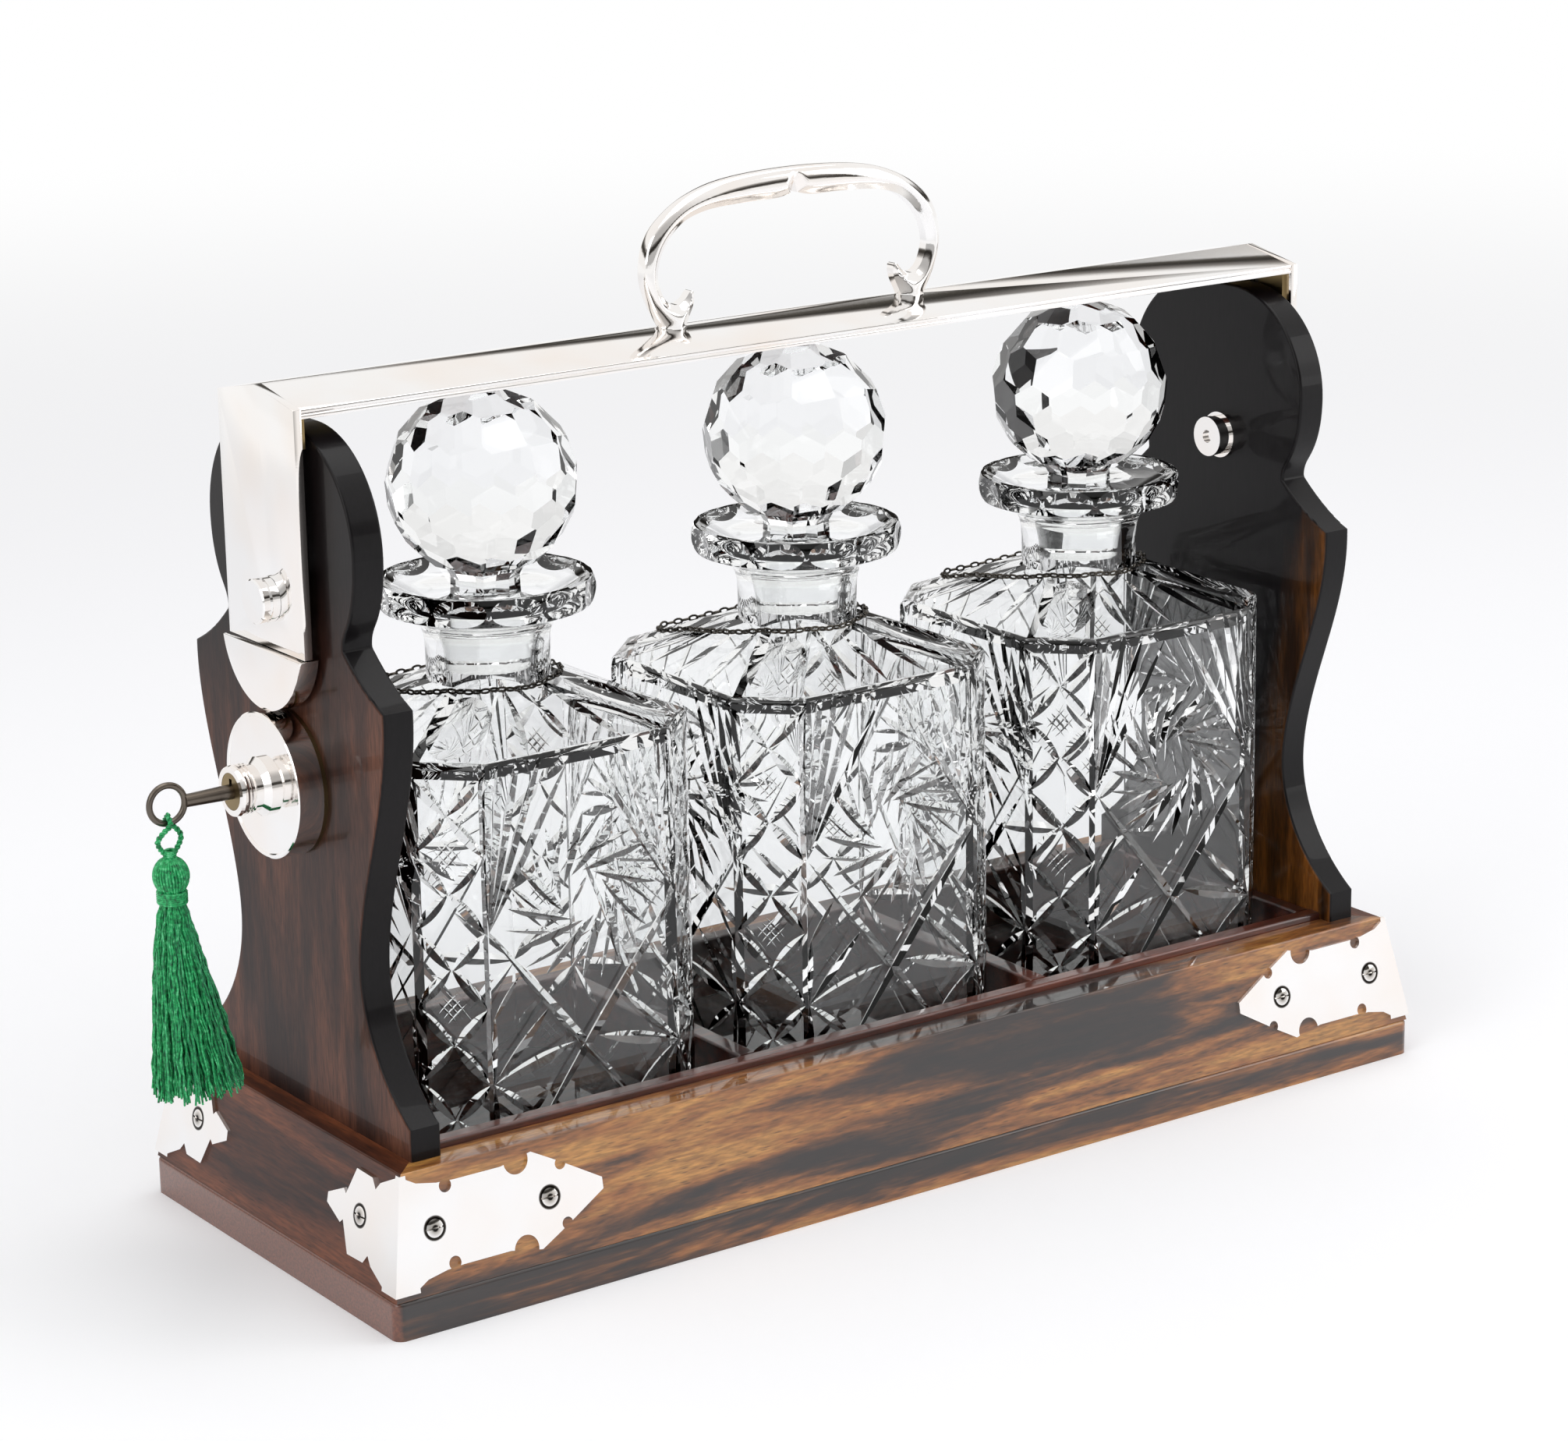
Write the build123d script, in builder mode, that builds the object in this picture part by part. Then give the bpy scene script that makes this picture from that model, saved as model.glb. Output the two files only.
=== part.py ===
"""Three-bottle tantalus: a wooden stand with a plated bar that locks down over three decanters.

Millimetres, +Z up. The origin is the centre of the plinth's underside, +X runs along the
stand towards its right end, and the front faces -Y.
"""

from build123d import *

import os
from collections import namedtuple
from math import atan2, cos, radians, sin, sqrt, tan

# ---------------------------------------------------------------- driving dimensions

# fits
seat_clearance = 0.02
running_clearance = 0.05
slide_clearance = 0.2

# room round the bottles, which sets the stand's length and depth: 370 by 139.6
bottle_side_gap = 1.23554
bottle_end_gap = 3.53554
bottle_divider_gap = 4.5

# plinth and rails
plinth_height = 11.0
plinth_corner_radius = 3.0
plinth_edge_round = 1.2
plinth_reveal = 0.6
rail_height = 33.8
rail_top_width = 10.4
rail_edge_round = 0.6
batter_angle = 10.5
upright_housing_depth = 3.6

# wells for the bottles
floor_thickness = 10.0
lining_thickness = 5.3
lining_rise = 2.0
divider_thickness = 6.0
lining_edge_round = 0.8

# uprights, as half widths from the centre line; each rise is above the point before it, from
# the top of the rails, and each drop is below the middle of the round head
upright_thickness = 9.5
upright_edge_round = 0.8
notch_corner_round = 1.2
foot_half_width = 57.3
foot_rise = 9.2
instep_half_width = 50.4
instep_rise = 5.2
calf_half_width = 39.2
calf_rise = 13.8
waist_half_width = 34.2
waist_rise = 15.5
flank_half_width = 35.9
flank_rise = 17.5
breast_half_width = 47.9
breast_rise = 36.0
shoulder_half_width = 52.2
shoulder_drop = 39.0
shoulder_dip = 1.2
notch_half_width = 32.0
notch_drop = 25.8
neck_half_width = 34.8
neck_drop = 19.0
head_radius = 32.0
head_centre_offset = 8.0
head_gap = 3.8

# top bar
bar_half_width = 21.0
bar_lip_height = 2.6
bottle_headroom = 2.8
bar_rise = 4.0
bar_sheet = 1.5
bar_groove = 0.4
core_recess = 0.5
arm_thickness = 2.4
arm_gap = 3.0
arm_tail_length = 13.7

# brackets between bar and arms
bracket_sheet = 1.9
bracket_leg_length = 20.0
bracket_leg_drop = 9.0
bracket_half_width = 19.0
bracket_tab_half_width = 12.0
bracket_screw_spread = 6.0
bracket_screw_reach = 12.0

# pivots
pivot_offset = -3.0
pivot_drop = 51.8
pivot_shank_radius = 3.5
pivot_stud_radius = 6.2
pivot_stud_length = 5.2
pivot_groove_width = 0.8
pivot_groove_depth = 0.8
bush_wall = 1.4
bush_flange_radius = 7.2
bush_flange_thickness = 1.0
spacer_radius = 7.0
nut_length = 4.6
nut_hole_radius = 2.0
nut_face_thickness = 1.2

# hasp, the half-round piece below the left arm
hasp_radius = 21.7
hasp_centre_rise = 4.1
hasp_gap = 0.3
hasp_stand_off = 2.0
hasp_inner_reach = 1.7
hasp_tongue_half_width = 10.0
hasp_tongue_height = 5.6
hasp_screw_spread = 7.0

# lock
lock_gap = 0.7
lock_radius = 20.5
lock_depth = 9.0
lock_wall = 1.4
lock_rim_width = 1.1
lock_rim_height = 0.35
lock_plate_thickness = 1.2
lock_screw_spread = 13.5
nozzle_base_radius = 8.25
nozzle_neck_radius = 6.5
nozzle_end_radius = 7.2
nozzle_length = 9.7
nozzle_base_length = 1.6
nozzle_flare_length = 1.6
nozzle_ring_setback = 1.9
nozzle_collar_length = 0.9
nozzle_edge_break = 0.3
nozzle_ring_pitch = 1.15
nozzle_spigot_radius = 7.0
plug_radius = 5.2
cam_radius = 6.8
cam_thickness = 2.1
cam_pin_radius = 1.2
cam_pin_throw = 4.0
key_turn_angle = 90.0
bolt_thickness = 2.0
bolt_tongue_width = 8.0
bolt_body_width = 14.0
bolt_body_drop = 8.0
bolt_body_rise = 4.0
bolt_rest_gap = 0.4
bolt_slot_clearance = 0.25
guide_width = 1.6
bolt_slot_depth = 4.2

# key
key_radius = 2.1
key_bow_shank_radius = 1.8
key_pipe_radius = 1.1
key_pin_radius = 0.9
key_depth = 9.4
key_reach = 13.2
key_shoulder = 1.0
key_pipe_end = 2.0
key_bit_length = 2.0
key_bit_height = 1.3
key_bit_width = 1.1
bow_ring_radius = 5.3
bow_wire_radius = 0.9

# tassel
tassel_cord_radius = 0.65
tassel_cord_play = 0.4
tassel_loop_pinch = 0.35
tassel_knot_drop = 5.0
tassel_knot_radius = 1.9
tassel_knot_bite = 0.4
tassel_stalk_length = 4.6
tassel_head_radius = 5.0
tassel_head_drop = 5.2
tassel_neck_drop = 5.8
tassel_neck_radius = 4.1
tassel_neck_turns = 4
tassel_thread_radius = 0.55
tassel_skirt_length = 56.4
tassel_skirt_half_width = 13.6
tassel_skirt_half_depth = 11.6
tassel_skirt_shift = 4.6
tassel_middle_width_share = 0.68
tassel_middle_shift_share = 0.4

# carrying handle, as half outlines: reach from the middle, and rise above the bar's ridge
handle_depth = 8.0
handle_outer_half = [
    (46.6, 0.0),
    (50.4, 7.1),
    (52.5, 15.1),
    (50.9, 24.1),
    (45.6, 30.8),
    (36.0, 36.6),
    (22.0, 40.2),
    (0.0, 41.4),
]
handle_inner_half = [
    (1.2, 33.8),
    (6.5, 32.8),
    (17.0, 32.7),
    (30.0, 31.9),
    (38.8, 29.0),
    (45.0, 22.8),
    (47.6, 15.1),
    (45.6, 8.4),
    (42.0, 6.0),
    (38.6, 7.2),
    (36.6, 9.3),
]
handle_cusp_rise = 3.8
handle_thumb_tip = (35.3, 8.8)
handle_thumb_back = (35.6, 6.0)
handle_foot_inner = 38.2

# decanters
decanter_half_width = 46.0
decanter_corner_cut = 15.0
decanter_body_height = 126.5
decanter_shoulder_rise = 11.5
decanter_neck_length = 19.6
decanter_neck_radius = 17.6
decanter_neck_straight = 4.0
decanter_collar_radius = 20.8
decanter_collar_drop = 2.6
decanter_lip_radius = 31.0
decanter_lip_height = 8.7
decanter_lip_round = 4.6
decanter_lip_edge = 0.9
decanter_lip_undercut = 1.2
decanter_rim_width = 1.7
decanter_dish_depth = 7.9
decanter_dish_margin = 1.4
decanter_wall = 5.0
decanter_base_thickness = 9.0
decanter_bore_radius = 12.2
decanter_mouth_radius = 13.6

# stoppers
stopper_ball_radius = 27.0
stopper_ball_rise = 34.6
stopper_ball_drop = 22.2
stopper_stem_radius = 10.0
stopper_plug_length = 17.4
stopper_plug_room = 1.0
stopper_plug_shoulder = 1.5

# chains round the necks
chain_half_thickness = 1.1
chain_slack = 3.0
chain_play = 0.3
chain_tilt = 2.6

# corner mounts, with half outlines of the two wings: reach in from the lower corner, and
# height above their middle; the notches are circles cut into the outline
mount_thickness = 0.9
mount_corner_reach = 16.0
mount_corner_lap = 5.0
mount_middle_rise = 0.9
mount_long_screw_reaches = (14.0, 50.6)
mount_end_screw_reach = 22.6
long_wing_half = [
    (67.9, 1.6),
    (57.4, 7.6),
    (53.4, 9.8),
    (46.4, 13.5),
    (36.4, 11.6),
    (21.4, 11.6),
    (16.2, 11.9),
    (10.0, 13.1),
]
long_wing_notches = [(55.2, 8.3, 1.7), (41.4, 12.3, 3.9), (18.8, 10.6, 1.9)]
end_wing_half = [
    (40.2, 1.4),
    (32.4, 4.8),
    (31.0, 3.6),
    (26.8, 12.0),
    (18.4, 11.8),
    (16.3, 9.2),
    (14.2, 11.6),
]

# screws: head radius, shank radius, length
base_screw_head = 3.5
base_screw_shank = 1.75
base_screw_length = 24.0
mount_screw_head = 3.0
mount_screw_shank = 1.3
mount_screw_length = 8.0
mount_screw_dome = 0.35
small_screw_head = 1.9
small_screw_shank = 0.9
small_screw_bite = 1.1
lock_screw_length = 8.0
handle_screw_head = 3.4
handle_screw_shank = 1.8
handle_screw_bite = 4.5
screw_slot_width = 0.5
screw_slot_depth_share = 0.35
screw_dome_share = 0.75
screw_head_clearance = 0.06

# ---------------------------------------------------------------- derived sizes

bottle_pitch = 2 * (decanter_half_width + bottle_divider_gap) + divider_thickness
lining_inner_x = bottle_pitch + decanter_half_width + bottle_end_gap
lining_inner_y = decanter_half_width + bottle_side_gap
upright_inner = lining_inner_x + lining_thickness
upright_outer = upright_inner + upright_thickness
end_rail_inner = upright_outer - upright_housing_depth
side_rail_inner = lining_inner_y + lining_thickness
batter_inset = rail_height * tan(radians(batter_angle))
top_half_length = end_rail_inner + rail_top_width
top_half_depth = side_rail_inner + rail_top_width
body_half_length = top_half_length + batter_inset
body_half_depth = top_half_depth + batter_inset
plinth_length = 2 * (body_half_length + plinth_reveal)
plinth_depth = 2 * (body_half_depth + plinth_reveal)
rail_top = plinth_height + rail_height
floor_top = plinth_height + floor_thickness
lining_top = rail_top + lining_rise

decanter_shoulder_height = floor_top + decanter_body_height
decanter_neck_height = decanter_shoulder_height + decanter_shoulder_rise
decanter_lip_bottom = decanter_neck_height + decanter_neck_length
decanter_lip_top = decanter_lip_bottom + decanter_lip_height
decanter_mouth_height = decanter_lip_top - decanter_dish_depth
stopper_plug_foot = decanter_mouth_height - stopper_plug_length
stopper_ball_height = decanter_mouth_height + stopper_ball_rise
bore_seat = stopper_plug_foot - stopper_plug_room

bar_underside = stopper_ball_height + stopper_ball_radius + bottle_headroom
pivot_height = bar_underside - pivot_drop
arm_foot_height = pivot_height - arm_tail_length
head_centre_height = bar_underside - head_gap - head_radius
notch_height = head_centre_height - notch_drop

arm_inner = upright_outer + arm_gap
arm_outer = arm_inner + arm_thickness
eave_height = bar_underside + bar_lip_height
ridge_height = eave_height + bar_rise
core_underside = bar_underside + core_recess
roof_slope = atan2(bar_rise, bar_half_width)

hasp_outer = arm_outer + hasp_stand_off
hasp_inner = arm_inner - hasp_inner_reach
hasp_top = arm_foot_height - hasp_gap
hasp_centre_height = arm_foot_height + hasp_centre_rise
hasp_tip = hasp_centre_height - hasp_radius

lock_front = upright_outer + lock_depth
lock_top = hasp_tip - lock_gap
lock_height = lock_top - lock_radius
lock_plate_face = upright_outer + lock_plate_thickness
cavity_front = lock_front - lock_wall
cam_face = cavity_front - running_clearance - cam_thickness
bolt_outer = cam_face - slide_clearance - running_clearance
bolt_inner = bolt_outer - bolt_thickness
nozzle_end = lock_front + nozzle_length
half_turn = radians(key_turn_angle / 2)
bolt_travel = 2 * cam_pin_throw * sin(half_turn)
bolt_rest_top = lock_top - bolt_rest_gap
cam_pin_rest_y = cam_pin_throw * cos(half_turn)
cam_pin_rest_z = lock_height - cam_pin_throw * sin(half_turn)
key_bit_radius = key_radius + key_bit_height
bow_centre = nozzle_end + key_reach + bow_wire_radius + bow_ring_radius
bow_bottom = lock_height - bow_ring_radius

tassel_knot_height = bow_bottom - tassel_knot_drop
tassel_head_top = tassel_knot_height - tassel_stalk_length
tassel_head_height = tassel_head_top - tassel_head_drop
tassel_neck_height = tassel_head_height - tassel_neck_drop

handle_screw_spread = (handle_foot_inner + handle_outer_half[0][0]) / 2
mount_middle_height = plinth_height + rail_height / 2 + mount_middle_rise
bottle_centres = {"left": -bottle_pitch, "middle": 0.0, "right": bottle_pitch}
sides = {"left": -1, "right": 1}

Screw = namedtuple("Screw", "head shank length dome")
base_screw = Screw(base_screw_head, base_screw_shank, base_screw_length, 0.0)
mount_screw = Screw(mount_screw_head, mount_screw_shank, mount_screw_length, mount_screw_dome)
lock_screw = Screw(small_screw_head, small_screw_shank, lock_screw_length, 0.0)
handle_screw_length = ridge_height - core_underside + handle_screw_bite
handle_screw = Screw(handle_screw_head, handle_screw_shank, handle_screw_length, 0.0)
bracket_screw = Screw(small_screw_head, small_screw_shank, bracket_sheet + small_screw_bite, 0.0)
hasp_screw = Screw(small_screw_head, small_screw_shank, hasp_inner_reach + small_screw_bite, 0.0)

os.makedirs("parts", exist_ok=True)


# ---------------------------------------------------------------- helpers


def write(piece, name):
    """Label a finished piece and write it as the STEP file of that name."""
    piece.part.label = name
    export_step(piece.part, f"parts/{name}.step")


def turning_plane(side, y, z):
    """Sketch plane for a turned piece on an axis along X: local x is outward, local y the radius."""
    return Plane(origin=(0, y, z), x_dir=(side, 0, 0), z_dir=(0, -side, 0))


def axis_along_x(y, z):
    """The X-parallel axis through (y, z)."""
    return Axis((0, y, z), (1, 0, 0))


def slab(x_range, y_range, z_range, mode=Mode.ADD):
    """Add or cut a box given by its limits along each axis."""
    (x0, x1), (y0, y1), (z0, z1) = x_range, y_range, z_range
    with Locations(((x0 + x1) / 2, (y0 + y1) / 2, (z0 + z1) / 2)):
        Box(abs(x1 - x0), abs(y1 - y0), abs(z1 - z0), mode=mode)


def cut_screw_hole(seat, screw):
    """Cut the countersunk hole of a screw whose head lies in the seat plane."""
    with Locations(seat):
        CounterSinkHole(
            radius=screw.shank,
            counter_sink_radius=screw.head,
            depth=screw.length + seat_clearance,
            counter_sink_angle=90,
        )


def add_screw(seat, screw):
    """Add a slotted countersunk screw whose head lies just inside the seat plane."""
    profile = Plane(origin=seat.origin, x_dir=seat.x_dir, z_dir=-seat.y_dir)
    head = screw.head - screw_head_clearance
    shank = screw.shank - seat_clearance
    rim = -seat_clearance
    crown = screw.dome or rim
    with BuildSketch(profile) as section:
        with BuildLine():
            Polyline(
                (head, rim),
                (shank, rim - (head - shank)),
                (shank, -screw.length),
                (0, -screw.length),
                (0, crown),
            )
            if screw.dome:
                ThreePointArc((0, crown), (head / 2, screw_dome_share * crown), (head, rim))
            else:
                Line((0, crown), (head, rim))
        make_face()
    revolve(section.sketch, axis=Axis(seat.origin, seat.z_dir))
    with Locations(seat):
        Box(
            3 * screw.head,
            screw_slot_width,
            2 * screw_slot_depth_share * screw.head,
            mode=Mode.SUBTRACT,
        )


# ---------------------------------------------------------------- screw positions

base_screw_seats = [
    Plane(origin=(x, y, 0), x_dir=(1, 0, 0), z_dir=(0, 0, -1))
    for x in (-bottle_pitch, 0, bottle_pitch)
    for y in (-(side_rail_inner + rail_top_width / 2), side_rail_inner + rail_top_width / 2)
]
upright_screw_seats = [
    Plane(origin=(side * (upright_inner + upright_thickness / 2), y, 0), x_dir=(1, 0, 0), z_dir=(0, 0, -1))
    for side in sides.values()
    for y in (-side_rail_inner / 2, side_rail_inner / 2)
]


def front_face_plane(x, height, y_side):
    """Plane on the mount's front or back wing at that x and height, its z axis pointing out."""
    slope = radians(batter_angle)
    y = body_half_depth - (height - plinth_height) * tan(slope) + mount_thickness / cos(slope)
    return Plane(
        origin=(x, y_side * y, height),
        x_dir=(1, 0, 0),
        z_dir=(0, y_side * cos(slope), sin(slope)),
    )


def end_face_plane(y, height, x_side):
    """Plane on the mount's end wing at that y and height, its z axis pointing out."""
    slope = radians(batter_angle)
    x = body_half_length - (height - plinth_height) * tan(slope) + mount_thickness / cos(slope)
    return Plane(
        origin=(x_side * x, y, height),
        x_dir=(0, 1, 0),
        z_dir=(x_side * cos(slope), 0, sin(slope)),
    )


def mount_screw_seats(x_side, y_side):
    """The three screw seats of one corner mount: two on its long wing and one on its end wing."""
    seats = [
        front_face_plane(x_side * (body_half_length - reach), mount_middle_height, y_side)
        for reach in mount_long_screw_reaches
    ]
    end_screw_y = y_side * (body_half_depth - mount_end_screw_reach)
    seats.append(end_face_plane(end_screw_y, mount_middle_height, x_side))
    return seats


corners = {"front_left": (-1, -1), "front_right": (1, -1), "back_left": (-1, 1), "back_right": (1, 1)}
all_mount_screw_seats = [seat for corner in corners.values() for seat in mount_screw_seats(*corner)]

bar_screw_seats = {}
for side_name, side in sides.items():
    bracket_face = arm_inner - bracket_sheet
    into_arm = [
        Plane(origin=(side * bracket_face, y, core_underside - bracket_leg_drop / 2), z_dir=(-side, 0, 0))
        for y in (-bracket_screw_spread, bracket_screw_spread)
    ]
    into_core = [
        Plane(origin=(side * (arm_inner - bracket_screw_reach), y, core_underside), z_dir=(0, 0, -1))
        for y in (-bracket_screw_spread, bracket_screw_spread)
    ]
    bar_screw_seats[side_name] = into_arm + into_core

hasp_screw_height = hasp_top + hasp_tongue_height / 2
hasp_screw_seats = [
    Plane(origin=(-hasp_inner, y, hasp_screw_height), z_dir=(1, 0, 0))
    for y in (-hasp_screw_spread, hasp_screw_spread)
]
handle_screw_seats = [
    Plane(origin=(x, 0, core_underside), z_dir=(0, 0, -1))
    for x in (-handle_screw_spread, handle_screw_spread)
]
lock_screw_seats = [
    Plane(origin=(-lock_plate_face, y, lock_height), z_dir=(-1, 0, 0))
    for y in (-lock_screw_spread, lock_screw_spread)
]


# ---------------------------------------------------------------- plinth and rails

with BuildPart() as plinth:
    with BuildSketch():
        RectangleRounded(plinth_length, plinth_depth, plinth_corner_radius)
    extrude(amount=plinth_height)
    fillet(plinth.faces().sort_by(Axis.Z)[-1].edges(), radius=plinth_edge_round)
    for seat in base_screw_seats + upright_screw_seats:
        cut_screw_hole(seat, base_screw)
write(plinth, "plinth")


def mitre_plane(x_side, y_side, keep_long_rail):
    """Upright plane at 45 degrees through a lower corner of the body."""
    turn = 1 if keep_long_rail else -1
    return Plane(
        origin=(x_side * body_half_length, y_side * body_half_depth, 0),
        z_dir=(turn * x_side, -turn * y_side, 0),
    )


def rail_profile(inner, bottom_outer, top_outer, side):
    """Battered cross-section of a rail, drawn with local x outward on that side."""
    with BuildLine() as outline:
        Polyline(
            (side * inner, plinth_height),
            (side * bottom_outer, plinth_height),
            (side * top_outer, rail_top),
            (side * inner, rail_top),
            close=True,
        )
    make_face(outline.edges())


for rail_name, y_side in {"front_rail": -1, "back_rail": 1}.items():
    with BuildPart() as rail:
        with BuildSketch(Plane.YZ.offset(-body_half_length)):
            rail_profile(side_rail_inner, body_half_depth, top_half_depth, y_side)
        extrude(amount=2 * body_half_length)
        for x_side in sides.values():
            split(bisect_by=mitre_plane(x_side, y_side, True), keep=Keep.BOTTOM)
        for seat in base_screw_seats + all_mount_screw_seats:
            if seat.origin.Y * y_side > side_rail_inner:
                cut_screw_hole(seat, mount_screw if seat.origin.Z else base_screw)
        fillet(rail.edges().filter_by(Axis.X).group_by(Axis.Z)[-1], radius=rail_edge_round)
    write(rail, rail_name)

for side_name, side in sides.items():
    with BuildPart() as rail:
        with BuildSketch(Plane.XZ.offset(-body_half_depth)):
            rail_profile(end_rail_inner, body_half_length, top_half_length, side)
        extrude(amount=2 * body_half_depth)
        for y_side in (-1, 1):
            split(bisect_by=mitre_plane(side, y_side, False), keep=Keep.BOTTOM)
        slab(
            (side * end_rail_inner, side * upright_outer),
            (-side_rail_inner, side_rail_inner),
            (plinth_height, rail_top),
            mode=Mode.SUBTRACT,
        )
        for seat in all_mount_screw_seats:
            if seat.origin.X * side > upright_outer and abs(seat.origin.Y) < side_rail_inner:
                cut_screw_hole(seat, mount_screw)
        top_edges = rail.edges().filter_by(Axis.Y).group_by(Axis.Z)[-1]
        fillet(top_edges.sort_by(Axis.X, reverse=side < 0)[-1], radius=rail_edge_round)
    write(rail, f"{side_name}_rail")


# ---------------------------------------------------------------- floor, linings and dividers

with BuildPart() as floor_board:
    slab((-upright_inner, upright_inner), (-side_rail_inner, side_rail_inner), (plinth_height, floor_top))
write(floor_board, "floor_board")

for lining_name, y_side in {"front_lining": -1, "back_lining": 1}.items():
    with BuildPart() as lining:
        slab(
            (-upright_inner, upright_inner),
            (y_side * lining_inner_y, y_side * side_rail_inner),
            (floor_top, lining_top),
        )
        fillet(lining.edges().filter_by(Axis.X).group_by(Axis.Z)[-1], radius=lining_edge_round)
    write(lining, lining_name)

for side_name, side in sides.items():
    with BuildPart() as lining:
        slab(
            (side * lining_inner_x, side * upright_inner),
            (-lining_inner_y, lining_inner_y),
            (floor_top, lining_top),
        )
        fillet(lining.edges().filter_by(Axis.Y).group_by(Axis.Z)[-1], radius=lining_edge_round)
    write(lining, f"{side_name}_lining")

    divider_x = side * bottle_pitch / 2
    with BuildPart() as divider:
        slab(
            (divider_x - divider_thickness / 2, divider_x + divider_thickness / 2),
            (-lining_inner_y, lining_inner_y),
            (floor_top, lining_top),
        )
        fillet(divider.edges().filter_by(Axis.Y).group_by(Axis.Z)[-1], radius=lining_edge_round)
    write(divider, f"{side_name}_divider")


# ---------------------------------------------------------------- uprights


def upright_outline():
    """Fretted lyre outline of an upright, local x across the stand and local y up."""
    head_top = head_centre_height + head_radius
    shoulder_height = head_centre_height - shoulder_drop
    neck_height = head_centre_height - neck_drop
    head_side = head_centre_offset + head_radius
    corner = head_radius * (1 - cos(radians(45)))
    dip_x = (shoulder_half_width + notch_half_width) / 2
    dip_z = (shoulder_height + notch_height) / 2 - shoulder_dip
    foot = (foot_half_width, rail_top + foot_rise)
    instep = (instep_half_width, foot[1] + instep_rise)
    calf = (calf_half_width, instep[1] + calf_rise)
    waist = (waist_half_width, calf[1] + waist_rise)
    flank = (flank_half_width, waist[1] + flank_rise)
    breast = (breast_half_width, flank[1] + breast_rise)
    with BuildLine() as outline:
        Polyline(
            (0, plinth_height),
            (side_rail_inner, plinth_height),
            (side_rail_inner, rail_top),
            (foot_half_width, rail_top),
            foot,
        )
        Spline(foot, instep, calf, waist, flank, breast, (shoulder_half_width, shoulder_height))
        ThreePointArc(
            (shoulder_half_width, shoulder_height),
            (dip_x, dip_z),
            (notch_half_width, notch_height),
        )
        Spline(
            (notch_half_width, notch_height),
            (neck_half_width, neck_height),
            (head_side, head_centre_height),
            tangents=[(0, 1), (0, 1)],
        )
        ThreePointArc(
            (head_side, head_centre_height),
            (head_side - corner, head_top - corner),
            (head_centre_offset, head_top),
        )
        Line((head_centre_offset, head_top), (0, head_top))
        mirror(about=Plane.YZ)
    make_face(outline.edges())


for side_name, side in sides.items():
    with BuildPart() as upright:
        with BuildSketch(Plane.YZ.offset(side * upright_inner)):
            upright_outline()
        extrude(amount=side * upright_thickness)
        across = upright.edges().filter_by(Axis.X)
        fillet(
            across.filter_by_position(Axis.Z, notch_height - seat_clearance, notch_height + seat_clearance),
            radius=notch_corner_round,
        )
        broad_faces = upright.faces().filter_by(Axis.X).sort_by(SortBy.AREA)[-2:]
        outlines = [edge for face in broad_faces for edge in face.outer_wire().edges()]
        above_rails = [edge for edge in outlines if edge.center().Z > rail_top]
        fillet(above_rails, radius=upright_edge_round)
        with Locations(Plane(origin=(side * upright_outer, pivot_offset, pivot_height), z_dir=(side, 0, 0))):
            Hole(radius=pivot_shank_radius + running_clearance + bush_wall + seat_clearance)
        for seat in upright_screw_seats:
            if seat.origin.X * side > 0:
                cut_screw_hole(seat, base_screw)
        if side_name == "left":
            for seat in lock_screw_seats:
                cut_screw_hole(seat, lock_screw)
    write(upright, f"{side_name}_upright")


# ---------------------------------------------------------------- corner mounts


def tapered_block(grow):
    """Add the battered body's envelope, grown outward by that much, standing on the plinth."""
    with BuildSketch(Plane.XY.offset(plinth_height)) as envelope:
        Rectangle(2 * (body_half_length + grow), 2 * (body_half_depth + grow))
    extrude(envelope.sketch, amount=rail_height, taper=batter_angle)


def wing_outline(points, corner_reach):
    """Symmetric wing outline: the half points, the corner, and the same points mirrored below."""
    upper = points + [(mount_corner_lap, corner_reach), (-2 * mount_thickness, corner_reach)]
    lower = [(reach, -height) for reach, height in reversed(upper)]
    return upper + lower


def corner_mount(x_side, y_side):
    """Bent plate over one corner of the body, with fretted wings and three screw holes."""
    grow = mount_thickness / cos(radians(batter_angle))
    middle_x = x_side * body_half_length
    middle_y = y_side * body_half_depth
    long_seat = y_side * (top_half_depth - mount_thickness)
    end_seat = x_side * (top_half_length - mount_thickness)
    long_plane = Plane(
        origin=(middle_x, long_seat, mount_middle_height),
        x_dir=(-x_side, 0, 0),
        z_dir=(0, x_side, 0),
    )
    end_plane = Plane(
        origin=(end_seat, middle_y, mount_middle_height),
        x_dir=(0, -y_side, 0),
        z_dir=(-y_side, 0, 0),
    )
    wing_depth = batter_inset + 4 * mount_thickness
    with BuildPart() as long_wing:
        tapered_block(grow)
        with BuildSketch(long_plane):
            Polygon(*wing_outline(long_wing_half, mount_corner_reach), align=None)
            for reach, height, radius in long_wing_notches:
                with Locations((reach, height), (reach, -height)):
                    Circle(radius, mode=Mode.SUBTRACT)
        extrude(amount=x_side * y_side * wing_depth, mode=Mode.INTERSECT)
    with BuildPart() as end_wing:
        tapered_block(grow)
        with BuildSketch(end_plane):
            Polygon(*wing_outline(end_wing_half, mount_corner_reach), align=None)
        extrude(amount=-x_side * y_side * wing_depth, mode=Mode.INTERSECT)
    with BuildPart() as mount:
        add(long_wing.part)
        add(end_wing.part)
        with BuildSketch(Plane.XY.offset(plinth_height)):
            Rectangle(2 * body_half_length, 2 * body_half_depth)
        extrude(amount=rail_height, taper=batter_angle, mode=Mode.SUBTRACT)
        for seat in mount_screw_seats(x_side, y_side):
            cut_screw_hole(seat, mount_screw)
    return mount


for corner_name, (x_side, y_side) in corners.items():
    write(corner_mount(x_side, y_side), f"corner_mount_{corner_name}")


# ---------------------------------------------------------------- screws of the stand

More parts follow.
